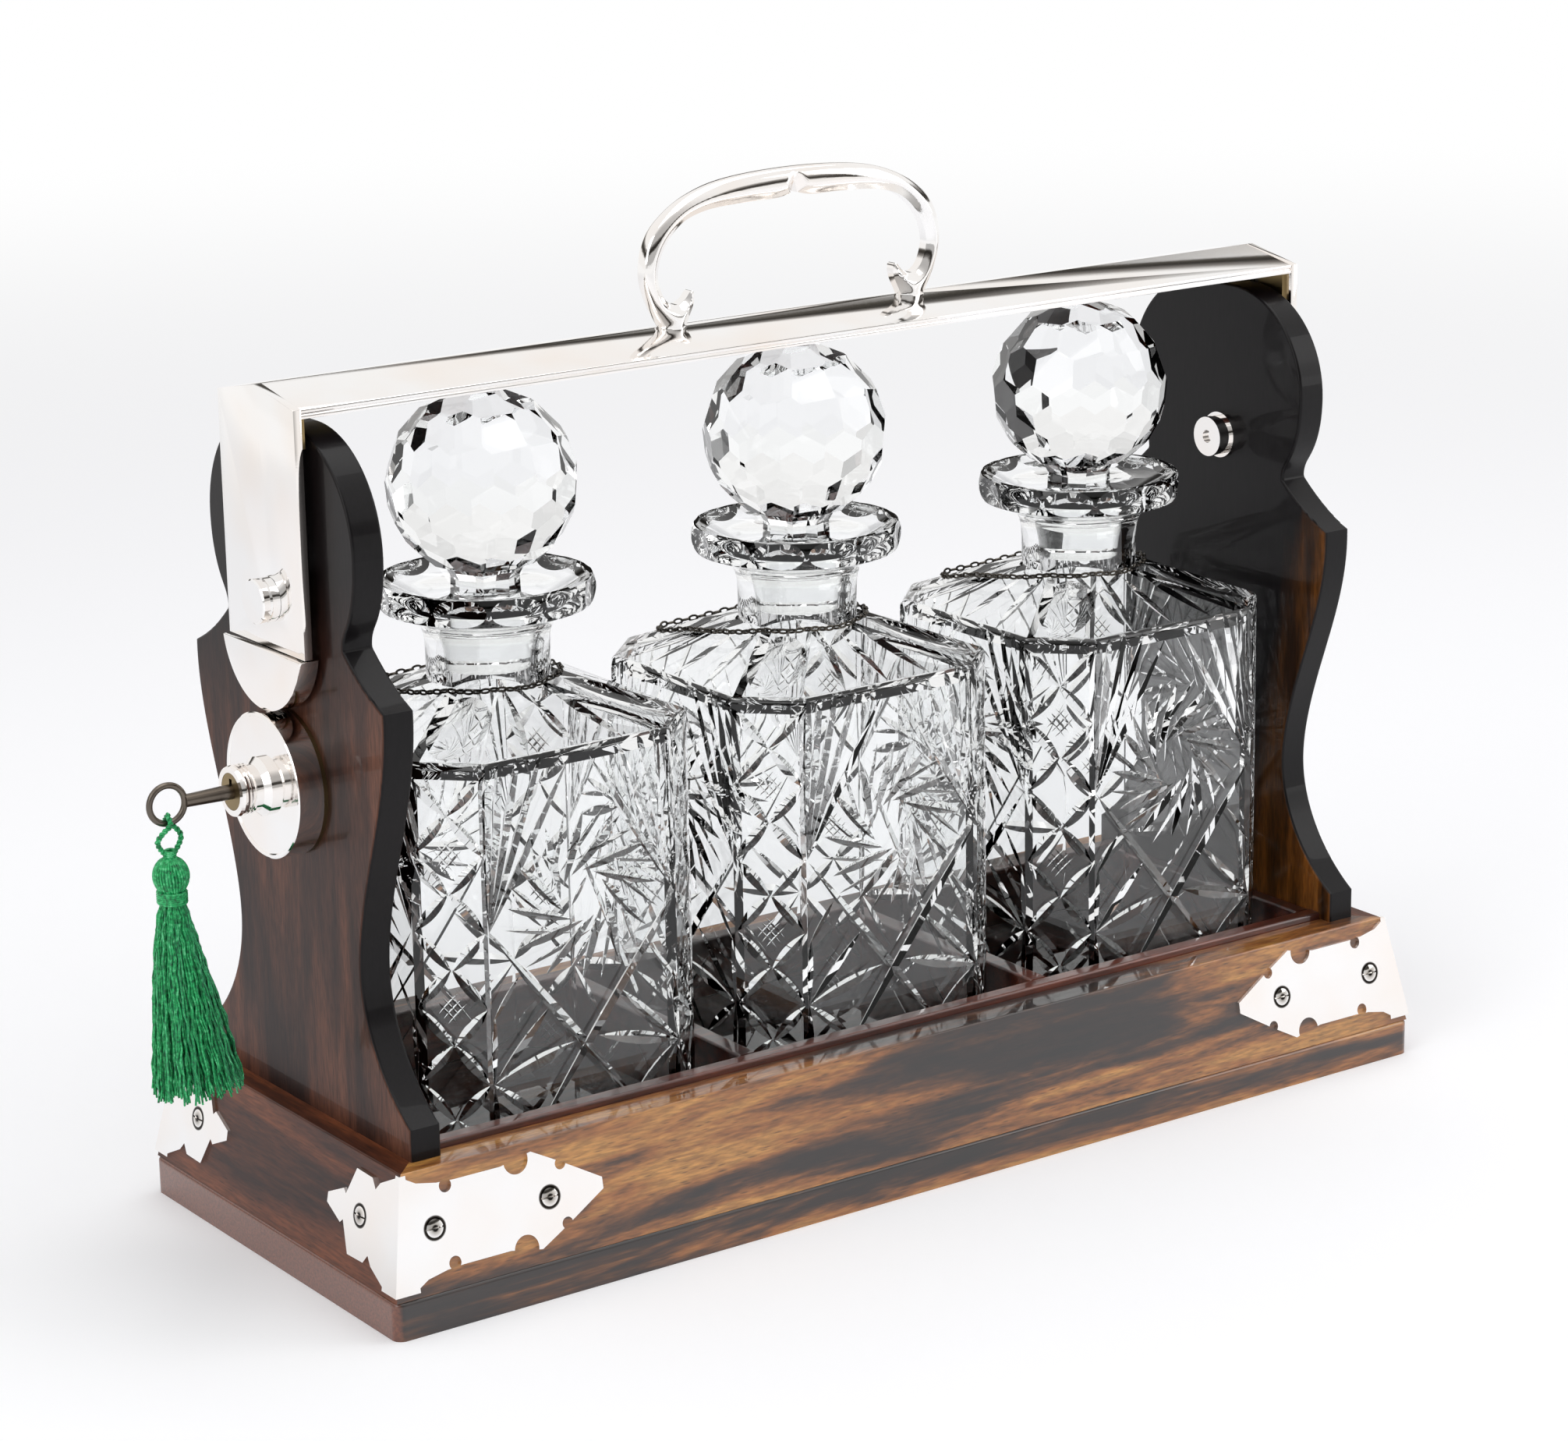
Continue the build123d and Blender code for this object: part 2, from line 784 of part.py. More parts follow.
with BuildPart() as mount_screws:
    for seat in all_mount_screw_seats:
        add_screw(seat, mount_screw)
write(mount_screws, "mount_screws")

with BuildPart() as base_screws:
    for seat in base_screw_seats + upright_screw_seats:
        add_screw(seat, base_screw)
write(base_screws, "base_screws")


# ---------------------------------------------------------------- top bar

bar_roof = [
    (-bar_half_width, eave_height),
    (0, ridge_height),
    (bar_half_width, eave_height),
]
inner_eave = eave_height - bar_sheet / cos(roof_slope) + bar_sheet * tan(roof_slope)
inner_ridge = ridge_height - bar_sheet / cos(roof_slope)
inner_half_width = bar_half_width - bar_sheet
groove_middle = bar_underside + bar_lip_height / 2

with BuildPart() as bar_cover:
    with BuildSketch(Plane.YZ.offset(-arm_inner)):
        with BuildLine():
            Polyline(
                (0, ridge_height),
                (bar_half_width, eave_height),
                (bar_half_width, groove_middle + bar_groove),
                (bar_half_width - bar_groove, groove_middle),
                (bar_half_width, groove_middle - bar_groove),
                (bar_half_width, bar_underside),
                (inner_half_width, bar_underside),
                (inner_half_width, inner_eave),
                (0, inner_ridge),
            )
            mirror(about=Plane.YZ)
        make_face()
    extrude(amount=2 * arm_inner)
    for seat in handle_screw_seats:
        with Locations(seat):
            Hole(radius=handle_screw.shank)
write(bar_cover, "bar_cover")


def bracket_space(side, mode=Mode.ADD):
    """The L of an end bracket: a leg on the arm, and a tab let into the core above it."""
    leg_outer = side * arm_inner
    leg_inner = side * (arm_inner - bracket_sheet)
    tab_end = side * (arm_inner - bracket_leg_length)
    leg_bottom = core_underside - bracket_leg_drop
    tab_top = core_underside + bracket_sheet
    slab(
        (leg_inner, leg_outer),
        (-bracket_half_width, bracket_half_width),
        (leg_bottom, core_underside),
        mode=mode,
    )
    slab(
        (tab_end, leg_outer),
        (-bracket_tab_half_width, bracket_tab_half_width),
        (core_underside, tab_top),
        mode=mode,
    )


with BuildPart() as bar_core:
    with BuildSketch(Plane.YZ.offset(-arm_inner)):
        with BuildLine():
            Polyline(
                (0, core_underside),
                (inner_half_width, core_underside),
                (inner_half_width, inner_eave),
                (0, inner_ridge),
            )
            mirror(about=Plane.YZ)
        make_face()
    extrude(amount=2 * arm_inner)
    for side in sides.values():
        bracket_space(side, mode=Mode.SUBTRACT)
    for seat in bar_screw_seats["left"] + bar_screw_seats["right"]:
        if abs(seat.z_dir.Z) > 0.5:
            cut_screw_hole(seat, bracket_screw)
    for seat in handle_screw_seats:
        cut_screw_hole(seat, handle_screw)
write(bar_core, "bar_core")

for side_name, side in sides.items():
    with BuildPart() as arm:
        with BuildSketch(Plane.YZ.offset(side * arm_inner)):
            with BuildLine():
                Polyline(
                    (-bar_half_width, arm_foot_height),
                    (bar_half_width, arm_foot_height),
                    (bar_half_width, eave_height),
                    (0, ridge_height),
                    (-bar_half_width, eave_height),
                    close=True,
                )
            make_face()
        extrude(amount=side * arm_thickness)
        with Locations(Plane(origin=(side * arm_outer, pivot_offset, pivot_height), z_dir=(side, 0, 0))):
            Hole(radius=pivot_shank_radius + running_clearance)
        for seat in bar_screw_seats[side_name]:
            if abs(seat.z_dir.Z) < 0.5:
                cut_screw_hole(seat, bracket_screw)
        if side_name == "left":
            for seat in hasp_screw_seats:
                cut_screw_hole(seat, hasp_screw)
    write(arm, f"{side_name}_arm")

    with BuildPart() as bracket:
        bracket_space(side)
        for seat in bar_screw_seats[side_name]:
            cut_screw_hole(seat, bracket_screw)
    write(bracket, f"{side_name}_bracket")

with BuildPart() as bracket_screws:
    for seat in bar_screw_seats["left"] + bar_screw_seats["right"]:
        add_screw(seat, bracket_screw)
write(bracket_screws, "bracket_screws")


# ---------------------------------------------------------------- carrying handle



def above_ridge(points):
    """Half outline points of the handle as heights above the table."""
    return [(reach, ridge_height + rise) for reach, rise in points]


handle_outer = above_ridge(handle_outer_half)
handle_inner = above_ridge(handle_inner_half)
handle_foot = [handle_thumb_tip, handle_thumb_back, (handle_foot_inner, 0)]
thumb_tip, thumb_back, foot_corner = above_ridge(handle_foot)
cusp = (0, handle_inner[0][1] + handle_cusp_rise)

with BuildPart() as handle:
    with BuildSketch(Plane.XZ.offset(-handle_depth / 2)):
        with BuildLine():
            Spline(*handle_outer, tangents=[(0.35, 1), (-1, 0)])
            Line(cusp, handle_inner[0])
            Spline(*handle_inner)
            ThreePointArc(handle_inner[-1], thumb_tip, thumb_back)
            Polyline(
                thumb_back,
                foot_corner,
                (handle_foot_inner, eave_height),
                (handle_outer[0][0], eave_height),
                handle_outer[0],
            )
            mirror(about=Plane.YZ)
        make_face()
    extrude(amount=handle_depth)
    with BuildSketch(Plane.YZ.offset(-arm_inner)):
        Polygon(*bar_roof, align=None)
    extrude(amount=2 * arm_inner, mode=Mode.SUBTRACT)
    for seat in handle_screw_seats:
        with Locations(seat):
            Hole(radius=handle_screw.shank, depth=handle_screw.length + seat_clearance)
write(handle, "handle")

with BuildPart() as handle_screws:
    for seat in handle_screw_seats:
        add_screw(seat, handle_screw)
write(handle_screws, "handle_screws")


# ---------------------------------------------------------------- hasp

with BuildPart() as lock_hasp:
    with BuildSketch(Plane.YZ.offset(-hasp_outer)):
        with Locations((0, hasp_centre_height)):
            Circle(hasp_radius)
        with Locations((0, hasp_top)):
            Rectangle(
                4 * hasp_radius,
                2 * hasp_radius,
                align=(Align.CENTER, Align.MIN),
                mode=Mode.SUBTRACT,
            )
    extrude(amount=hasp_outer - hasp_inner)
    slab(
        (-arm_inner, -hasp_inner),
        (-hasp_tongue_half_width, hasp_tongue_half_width),
        (hasp_top, hasp_top + hasp_tongue_height),
    )
    slab(
        (-bolt_outer - slide_clearance, -bolt_inner + slide_clearance),
        (-bolt_tongue_width / 2 - slide_clearance, bolt_tongue_width / 2 + slide_clearance),
        (hasp_tip - slide_clearance, bolt_rest_top + bolt_travel + slide_clearance),
        mode=Mode.SUBTRACT,
    )
    for seat in hasp_screw_seats:
        cut_screw_hole(seat, hasp_screw)
write(lock_hasp, "lock_hasp")

with BuildPart() as hasp_screws:
    for seat in hasp_screw_seats:
        add_screw(seat, hasp_screw)
write(hasp_screws, "hasp_screws")


# ---------------------------------------------------------------- pivots

bush_bore = pivot_shank_radius + running_clearance
flange_face = upright_inner - bush_flange_thickness
nut_face = flange_face - nut_length
pin_end = nut_face + nut_face_thickness
stud_seat = arm_outer + running_clearance
stud_end = stud_seat + pivot_stud_length
groove_at = stud_seat + pivot_stud_length / 2
groove_floor = pivot_stud_radius - pivot_groove_depth

for side_name, side in sides.items():
    with BuildPart() as pivot_pin:
        with BuildSketch(turning_plane(side, pivot_offset, pivot_height)):
            with BuildLine():
                Polyline(
                    (pin_end, 0),
                    (pin_end, pivot_shank_radius),
                    (stud_seat, pivot_shank_radius),
                    (stud_seat, pivot_stud_radius),
                    (groove_at - pivot_groove_width / 2, pivot_stud_radius),
                    (groove_at - pivot_groove_width / 2, groove_floor),
                    (groove_at + pivot_groove_width / 2, groove_floor),
                    (groove_at + pivot_groove_width / 2, pivot_stud_radius),
                    (stud_end - pivot_groove_depth / 2, pivot_stud_radius),
                    (stud_end, pivot_stud_radius - pivot_groove_depth / 2),
                    (stud_end, 0),
                    close=True,
                )
            make_face()
        revolve(axis=axis_along_x(pivot_offset, pivot_height))
    write(pivot_pin, f"{side_name}_pivot_pin")

    with BuildPart() as pivot_bush:
        with BuildSketch(turning_plane(side, pivot_offset, pivot_height)):
            with BuildLine():
                Polyline(
                    (flange_face, bush_bore),
                    (flange_face, bush_flange_radius),
                    (upright_inner, bush_flange_radius),
                    (upright_inner, bush_bore + bush_wall),
                    (upright_outer, bush_bore + bush_wall),
                    (upright_outer, bush_bore),
                    close=True,
                )
            make_face()
        revolve(axis=axis_along_x(pivot_offset, pivot_height))
    write(pivot_bush, f"{side_name}_pivot_bush")

with BuildPart() as pivot_spacers:
    for side in sides.values():
        with BuildSketch(turning_plane(side, pivot_offset, pivot_height)):
            with BuildLine():
                Polyline(
                    (upright_outer, bush_bore),
                    (upright_outer, spacer_radius),
                    (arm_inner - running_clearance, spacer_radius),
                    (arm_inner - running_clearance, bush_bore),
                    close=True,
                )
            make_face()
        revolve(axis=axis_along_x(pivot_offset, pivot_height))
write(pivot_spacers, "pivot_spacers")

with BuildPart() as pivot_nuts:
    for side in sides.values():
        with BuildSketch(turning_plane(side, pivot_offset, pivot_height)):
            with BuildLine():
                Polyline(
                    (flange_face, bush_bore),
                    (flange_face, pivot_stud_radius),
                    (nut_face, pivot_stud_radius),
                    (nut_face, nut_hole_radius),
                    (pin_end - seat_clearance, nut_hole_radius),
                    (pin_end - seat_clearance, bush_bore),
                    close=True,
                )
            make_face()
        revolve(axis=axis_along_x(pivot_offset, pivot_height))
write(pivot_nuts, "pivot_nuts")


# ---------------------------------------------------------------- lock

guide_inner = bolt_body_width / 2 + slide_clearance
guide_bottom = cam_pin_rest_z - bolt_body_drop
guide_top = cam_pin_rest_z + bolt_body_rise + bolt_travel

with BuildPart() as lock_plate:
    with BuildSketch(Plane.YZ.offset(-upright_outer)):
        with Locations((0, lock_height)):
            Circle(lock_radius)
    extrude(amount=-lock_plate_thickness)
    slab(
        (-lock_plate_face, -bolt_inner + running_clearance),
        (-guide_inner, guide_inner),
        (guide_bottom, guide_top),
    )
    for y_side in (-1, 1):
        slab(
            (-lock_plate_face, -bolt_outer),
            (y_side * guide_inner, y_side * (guide_inner + guide_width)),
            (guide_bottom, guide_top),
        )
    for seat in lock_screw_seats:
        cut_screw_hole(seat, lock_screw)
write(lock_plate, "lock_plate")

with BuildPart() as lock_screws:
    for seat in lock_screw_seats:
        add_screw(seat, lock_screw)
write(lock_screws, "lock_screws")

with BuildPart() as lock_case:
    with BuildSketch(turning_plane(-1, 0, lock_height)):
        with BuildLine():
            Polyline(
                (lock_plate_face, lock_radius),
                (lock_front - lock_rim_height, lock_radius),
                (lock_front, lock_radius - lock_rim_height),
                (lock_front, lock_radius - lock_rim_width),
                (lock_front - lock_rim_height, lock_radius - lock_rim_width - lock_rim_height),
                (lock_front - lock_rim_height, nozzle_spigot_radius + seat_clearance),
                (cavity_front, nozzle_spigot_radius + seat_clearance),
                (cavity_front, lock_radius - lock_wall),
                (lock_plate_face, lock_radius - lock_wall),
                close=True,
            )
        make_face()
    revolve(axis=axis_along_x(0, lock_height))
    slab(
        (-bolt_outer - slide_clearance, -bolt_inner + slide_clearance),
        (-bolt_tongue_width / 2 - slide_clearance, bolt_tongue_width / 2 + slide_clearance),
        (lock_top - bolt_slot_depth, lock_top + lock_wall),
        mode=Mode.SUBTRACT,
    )
write(lock_case, "lock_case")

plug_bore = plug_radius + running_clearance
nozzle_seat = lock_front - lock_rim_height
ring_crests = [nozzle_end - nozzle_ring_setback - count * nozzle_ring_pitch for count in (2, 1, 0)]
flare_start = nozzle_seat + nozzle_base_length
ring_depth = nozzle_end_radius - nozzle_neck_radius

with BuildPart() as lock_nozzle:
    with BuildSketch(turning_plane(-1, 0, lock_height)):
        with BuildLine():
            outline = [
                (cavity_front, plug_bore),
                (cavity_front, nozzle_spigot_radius),
                (nozzle_seat, nozzle_spigot_radius),
                (nozzle_seat, nozzle_base_radius),
                (flare_start, nozzle_base_radius),
                (flare_start + nozzle_flare_length, nozzle_neck_radius),
            ]
            for crest in ring_crests:
                outline += [
                    (crest - nozzle_ring_pitch / 2, nozzle_neck_radius),
                    (crest - nozzle_ring_pitch / 4, nozzle_neck_radius + ring_depth),
                    (crest + nozzle_ring_pitch / 4, nozzle_neck_radius + ring_depth),
                ]
            outline += [
                (ring_crests[-1] + nozzle_ring_pitch / 2, nozzle_neck_radius),
                (nozzle_end - nozzle_collar_length, nozzle_end_radius),
                (nozzle_end, nozzle_end_radius - nozzle_edge_break),
                (nozzle_end, plug_bore),
            ]
            Polyline(*outline, close=True)
        make_face()
    revolve(axis=axis_along_x(0, lock_height))
write(lock_nozzle, "lock_nozzle")

keyway_radius = key_radius + running_clearance
keyway_floor = nozzle_end - key_depth - running_clearance
plug_face = nozzle_end - running_clearance
bit_near = nozzle_end - key_depth / 2
bit_far = bit_near - key_bit_length

with BuildPart() as lock_plug:
    with BuildSketch(turning_plane(-1, 0, lock_height)):
        with BuildLine():
            Polyline(
                (cam_face, 0),
                (cam_face, cam_radius),
                (cam_face + cam_thickness, cam_radius),
                (cam_face + cam_thickness, plug_radius),
                (plug_face, plug_radius),
                (plug_face, keyway_radius),
                (keyway_floor, keyway_radius),
                (keyway_floor, key_pin_radius),
                (plug_face, key_pin_radius),
                (plug_face, 0),
                close=True,
            )
        make_face()
    revolve(axis=axis_along_x(0, lock_height))
    with BuildSketch(Plane.YZ.offset(-cam_face)):
        with Locations((cam_pin_rest_y, cam_pin_rest_z)):
            Circle(cam_pin_radius)
    extrude(amount=cam_face - bolt_inner)
    slab(
        (-bit_far + running_clearance, -nozzle_end),
        (-key_bit_width / 2 - slide_clearance, key_bit_width / 2 + slide_clearance),
        (lock_height + key_radius / 2 + key_pin_radius / 2, lock_height + key_bit_radius + slide_clearance),
        mode=Mode.SUBTRACT,
    )
write(lock_plug, "lock_plug")

with BuildPart() as lock_bolt:
    slab(
        (-bolt_outer, -bolt_inner),
        (-bolt_tongue_width / 2, bolt_tongue_width / 2),
        (cam_pin_rest_z, bolt_rest_top),
    )
    slab(
        (-bolt_outer, -bolt_inner),
        (-bolt_body_width / 2, bolt_body_width / 2),
        (cam_pin_rest_z - bolt_body_drop, cam_pin_rest_z + bolt_body_rise),
    )
    slot_reach = cam_pin_radius + bolt_slot_clearance
    slab(
        (-bolt_outer, -bolt_inner),
        (cam_pin_rest_y - slot_reach, cam_pin_throw + slot_reach),
        (cam_pin_rest_z - slot_reach, cam_pin_rest_z + slot_reach),
        mode=Mode.SUBTRACT,
    )
write(lock_bolt, "lock_bolt")


# ---------------------------------------------------------------- key

shank_joint = nozzle_end + key_reach

with BuildPart() as key:
    with BuildSketch(turning_plane(-1, 0, lock_height)):
        with BuildLine():
            Polyline(
                (nozzle_end - key_depth, key_pipe_radius),
                (nozzle_end - key_depth, key_radius),
                (nozzle_end + key_shoulder, key_radius),
                (shank_joint + bow_wire_radius, key_bow_shank_radius),
                (shank_joint + bow_wire_radius, 0),
                (nozzle_end + key_pipe_end, 0),
                (nozzle_end + key_pipe_end, key_pipe_radius),
                close=True,
            )
        make_face()
    revolve(axis=axis_along_x(0, lock_height))
    with Locations(Plane(origin=(-bow_centre, 0, lock_height), z_dir=(0, 1, 0))):
        Torus(bow_ring_radius, bow_wire_radius)
    slab(
        (-bit_far, -bit_near),
        (-key_bit_width / 2, key_bit_width / 2),
        (lock_height + (key_radius + key_pipe_radius) / 2, lock_height + key_bit_radius),
    )
write(key, "key")


# ---------------------------------------------------------------- tassel

loop_radius = bow_wire_radius + tassel_cord_play + tassel_cord_radius
strand_end = tassel_knot_height + tassel_knot_radius * tassel_knot_bite
pinch = loop_radius * tassel_loop_pinch

with BuildPart() as tassel_loop:
    with BuildLine(Plane.YZ.offset(-bow_centre)):
        Line((-pinch, strand_end), (-loop_radius, bow_bottom))
        ThreePointArc(
            (-loop_radius, bow_bottom),
            (0, bow_bottom + loop_radius),
            (loop_radius, bow_bottom),
        )
        Line((loop_radius, bow_bottom), (pinch, strand_end))
    strand_run = (0, pinch - loop_radius, bow_bottom - strand_end)
    with BuildSketch(Plane(origin=(-bow_centre, -pinch, strand_end), z_dir=strand_run)):
        Circle(tassel_cord_radius)
    sweep(transition=Transition.ROUND)
    with Locations((-bow_centre, 0, tassel_knot_height)):
        Sphere(tassel_knot_radius)
    with Locations((-bow_centre, 0, tassel_head_top)):
        Cylinder(
            2 * tassel_cord_radius,
            tassel_knot_height - tassel_head_top,
            align=(Align.CENTER, Align.CENTER, Align.MIN),
        )
write(tassel_loop, "tassel_loop")

tassel_plane = Plane(origin=(-bow_centre, 0, 0), x_dir=(1, 0, 0), z_dir=(0, -1, 0))
tassel_axis = Axis((-bow_centre, 0, 0), (0, 0, 1))
thread_pitch = 2 * tassel_thread_radius
neck_top = tassel_neck_height + tassel_neck_turns * thread_pitch / 2
neck_foot = tassel_neck_height - tassel_neck_turns * thread_pitch / 2

with BuildPart() as tassel_head:
    with BuildSketch(tassel_plane):
        with BuildLine():
            Line((0, neck_foot), (0, tassel_head_top))
            Spline(
                (0, tassel_head_top),
                (tassel_head_radius, tassel_head_height),
                (tassel_neck_radius, neck_top),
                tangents=[(1, 0), (-0.4, -1)],
            )
            for turn in range(tassel_neck_turns):
                upper = neck_top - turn * thread_pitch
                ThreePointArc(
                    (tassel_neck_radius, upper),
                    (tassel_neck_radius + tassel_thread_radius, upper - thread_pitch / 2),
                    (tassel_neck_radius, upper - thread_pitch),
                )
            Line((tassel_neck_radius, neck_foot), (0, neck_foot))
        make_face()
    revolve(axis=tassel_axis)
write(tassel_head, "tassel_head")

tassel_skirt_foot = neck_foot - tassel_skirt_length
skirt_middle = (neck_foot + tassel_skirt_foot) / 2
middle_half_width = tassel_skirt_half_width * tassel_middle_width_share
middle_half_depth = tassel_skirt_half_depth * tassel_middle_width_share
middle_shift = tassel_skirt_shift * tassel_middle_shift_share

with BuildPart() as tassel_skirt:
    with BuildSketch(Plane.XY.offset(neck_foot)):
        with Locations((-bow_centre, 0)):
            Ellipse(tassel_neck_radius, tassel_neck_radius - seat_clearance)
    with BuildSketch(Plane.XY.offset(skirt_middle)):
        with Locations((-bow_centre + middle_shift, 0)):
            Ellipse(middle_half_width, middle_half_depth)
    with BuildSketch(Plane.XY.offset(tassel_skirt_foot)):
        with Locations((-bow_centre + tassel_skirt_shift, 0)):
            Ellipse(tassel_skirt_half_width, tassel_skirt_half_depth)
    loft()
write(tassel_skirt, "tassel_skirt")


# ---------------------------------------------------------------- decanters, stoppers and chains


def octagon(half_width, corner_cut):
    """Square with cut corners, in the open sketch."""
    Rectangle(2 * half_width, 2 * half_width)
    chamfer(vertices(), length=corner_cut)


def regular_cut(half_width):
    """The corner cut that turns a square of that half width into a regular octagon."""
    return half_width * (2 - sqrt(2))


def decanter(x):
    """Square spirit decanter with cut corners, a sloping shoulder and a flared, dished mouth."""
    inner_half = decanter_half_width - decanter_wall
    inner_cut = decanter_corner_cut - decanter_wall * (2 - sqrt(2))
    cavity_floor = floor_top + decanter_base_thickness
    cavity_shoulder = decanter_shoulder_height - decanter_wall
    cavity_neck = decanter_neck_height - decanter_wall
    neck_top = (decanter_neck_radius, decanter_neck_height + decanter_neck_straight)
    lip_start = (decanter_lip_radius - decanter_lip_undercut, decanter_lip_bottom + decanter_lip_edge)
    rim_outer = decanter_lip_radius - decanter_lip_edge
    axis = Axis((x, 0, 0), (0, 0, 1))
    turning = Plane(origin=(x, 0, 0), x_dir=(1, 0, 0), z_dir=(0, -1, 0))
    with BuildPart() as glass:
        with BuildSketch(Plane(origin=(x, 0, floor_top))):
            octagon(decanter_half_width, decanter_corner_cut)
        extrude(amount=decanter_shoulder_height - floor_top)
        with BuildSketch(Plane(origin=(x, 0, decanter_shoulder_height))):
            octagon(decanter_half_width, decanter_corner_cut)
        with BuildSketch(Plane(origin=(x, 0, decanter_neck_height))):
            octagon(decanter_neck_radius, regular_cut(decanter_neck_radius))
        loft(ruled=True)
        with BuildSketch(turning):
            with BuildLine():
                Line((0, decanter_shoulder_height), (decanter_neck_radius, decanter_shoulder_height))
                Line((decanter_neck_radius, decanter_shoulder_height), neck_top)
                Spline(
                    neck_top,
                    (decanter_collar_radius, decanter_lip_bottom - decanter_collar_drop),
                    lip_start,
                    tangents=[(0, 1), (1, 0.55)],
                )
                ThreePointArc(
                    lip_start,
                    (decanter_lip_radius, decanter_lip_bottom + decanter_lip_round),
                    (rim_outer, decanter_lip_top),
                )
                Polyline(
                    (rim_outer, decanter_lip_top),
                    (rim_outer - decanter_rim_width, decanter_lip_top),
                    (decanter_mouth_radius + decanter_dish_margin, decanter_mouth_height),
                    (0, decanter_mouth_height),
                    (0, decanter_shoulder_height),
                )
            make_face()
        revolve(axis=axis)
        with BuildSketch(Plane(origin=(x, 0, cavity_floor))):
            octagon(inner_half, inner_cut)
        extrude(amount=cavity_shoulder - cavity_floor, mode=Mode.SUBTRACT)
        with BuildSketch(Plane(origin=(x, 0, cavity_shoulder))):
            octagon(inner_half, inner_cut)
        with BuildSketch(Plane(origin=(x, 0, cavity_neck))):
            octagon(decanter_bore_radius, regular_cut(decanter_bore_radius))
        loft(ruled=True, mode=Mode.SUBTRACT)
        with BuildSketch(turning):
            with BuildLine():
                Polyline(
                    (0, cavity_shoulder),
                    (decanter_bore_radius, cavity_shoulder),
                    (decanter_bore_radius, bore_seat),
                    (decanter_mouth_radius, decanter_mouth_height),
                    (decanter_mouth_radius, decanter_lip_top),
                    (0, decanter_lip_top),
                    close=True,
                )
            make_face()
        revolve(axis=axis, mode=Mode.SUBTRACT)
    return glass


def stopper(x):
    """Ball stopper: a ball with a flat foot, a short stem and a ground plug that fits the mouth."""
    bore_taper = (decanter_mouth_radius - decanter_bore_radius) / (decanter_mouth_height - bore_seat)
    plug_foot_radius = decanter_bore_radius + bore_taper - running_clearance
    plug_top_radius = decanter_mouth_radius - running_clearance
    ball_foot = stopper_ball_height - stopper_ball_drop
    ball_foot_radius = sqrt(stopper_ball_radius**2 - stopper_ball_drop**2)
    axis = Axis((x, 0, 0), (0, 0, 1))
    turning = Plane(origin=(x, 0, 0), x_dir=(1, 0, 0), z_dir=(0, -1, 0))
    with BuildPart() as ball:
        with BuildSketch(turning):
            with BuildLine():
                Polyline(
                    (0, stopper_ball_height + stopper_ball_radius),
                    (0, stopper_plug_foot),
                    (plug_foot_radius, stopper_plug_foot),
                    (plug_top_radius, decanter_mouth_height),
                    (stopper_stem_radius, decanter_mouth_height + stopper_plug_shoulder),
                    (stopper_stem_radius, ball_foot),
                    (ball_foot_radius, ball_foot),
                )
                ThreePointArc(
                    (ball_foot_radius, ball_foot),
                    (stopper_ball_radius, stopper_ball_height),
                    (0, stopper_ball_height + stopper_ball_radius),
                )
            make_face()
        revolve(axis=axis)
    return ball


def neck_chain(x):
    """Slack chain round a decanter's neck, as the ring its links lie in."""
    neck_corner = decanter_neck_radius / cos(radians(22.5))
    reach = neck_corner + chain_play + chain_half_thickness + chain_slack
    rest = decanter_neck_height + chain_half_thickness
    back_left = (-0.8, 0.6)
    tilt = radians(chain_tilt)
    with BuildPart() as chain:
        with Locations(
            Plane(
                origin=(x + back_left[0] * chain_slack, back_left[1] * chain_slack, rest - reach * sin(tilt)),
                z_dir=(back_left[0] * sin(tilt), back_left[1] * sin(tilt), cos(tilt)),
            )
        ):
            Torus(reach, chain_half_thickness)
    return chain


for bottle, x in bottle_centres.items():
    write(decanter(x), f"{bottle}_decanter")
    write(stopper(x), f"{bottle}_stopper")
    write(neck_chain(x), f"{bottle}_neck_chain")
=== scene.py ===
"""Looks of a three-bottle tantalus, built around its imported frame.

Metres, +Z up, the same frame as the solids: the origin is the middle of the plinth's underside,
+X runs to the end without the lock and the front faces -Y.
"""

from __future__ import annotations

import logging
import math
import random
from dataclasses import dataclass, field
from enum import Enum
from typing import Iterable, Sequence

import bmesh
import bpy
from mathutils import Matrix, Vector
from mathutils.geometry import delaunay_2d_cdt
from mathutils.kdtree import KDTree

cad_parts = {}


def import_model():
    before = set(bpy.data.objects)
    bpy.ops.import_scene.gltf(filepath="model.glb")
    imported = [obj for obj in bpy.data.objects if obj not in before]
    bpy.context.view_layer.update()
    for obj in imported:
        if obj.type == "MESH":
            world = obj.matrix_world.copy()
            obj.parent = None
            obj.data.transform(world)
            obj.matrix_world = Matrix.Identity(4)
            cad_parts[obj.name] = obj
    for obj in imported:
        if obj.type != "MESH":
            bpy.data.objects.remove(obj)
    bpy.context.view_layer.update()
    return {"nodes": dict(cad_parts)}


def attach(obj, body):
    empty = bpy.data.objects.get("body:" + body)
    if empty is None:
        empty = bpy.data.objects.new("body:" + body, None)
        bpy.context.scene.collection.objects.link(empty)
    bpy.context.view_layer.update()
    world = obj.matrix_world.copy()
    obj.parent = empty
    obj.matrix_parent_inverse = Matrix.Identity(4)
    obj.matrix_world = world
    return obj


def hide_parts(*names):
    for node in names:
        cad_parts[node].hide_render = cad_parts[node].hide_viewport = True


LOG = logging.getLogger("tantalus")
MM = 0.001

BOTTLES = {"left": -0.107, "middle": 0.0, "right": 0.107}


# ------------------------------------------------------------------ colour and node helpers


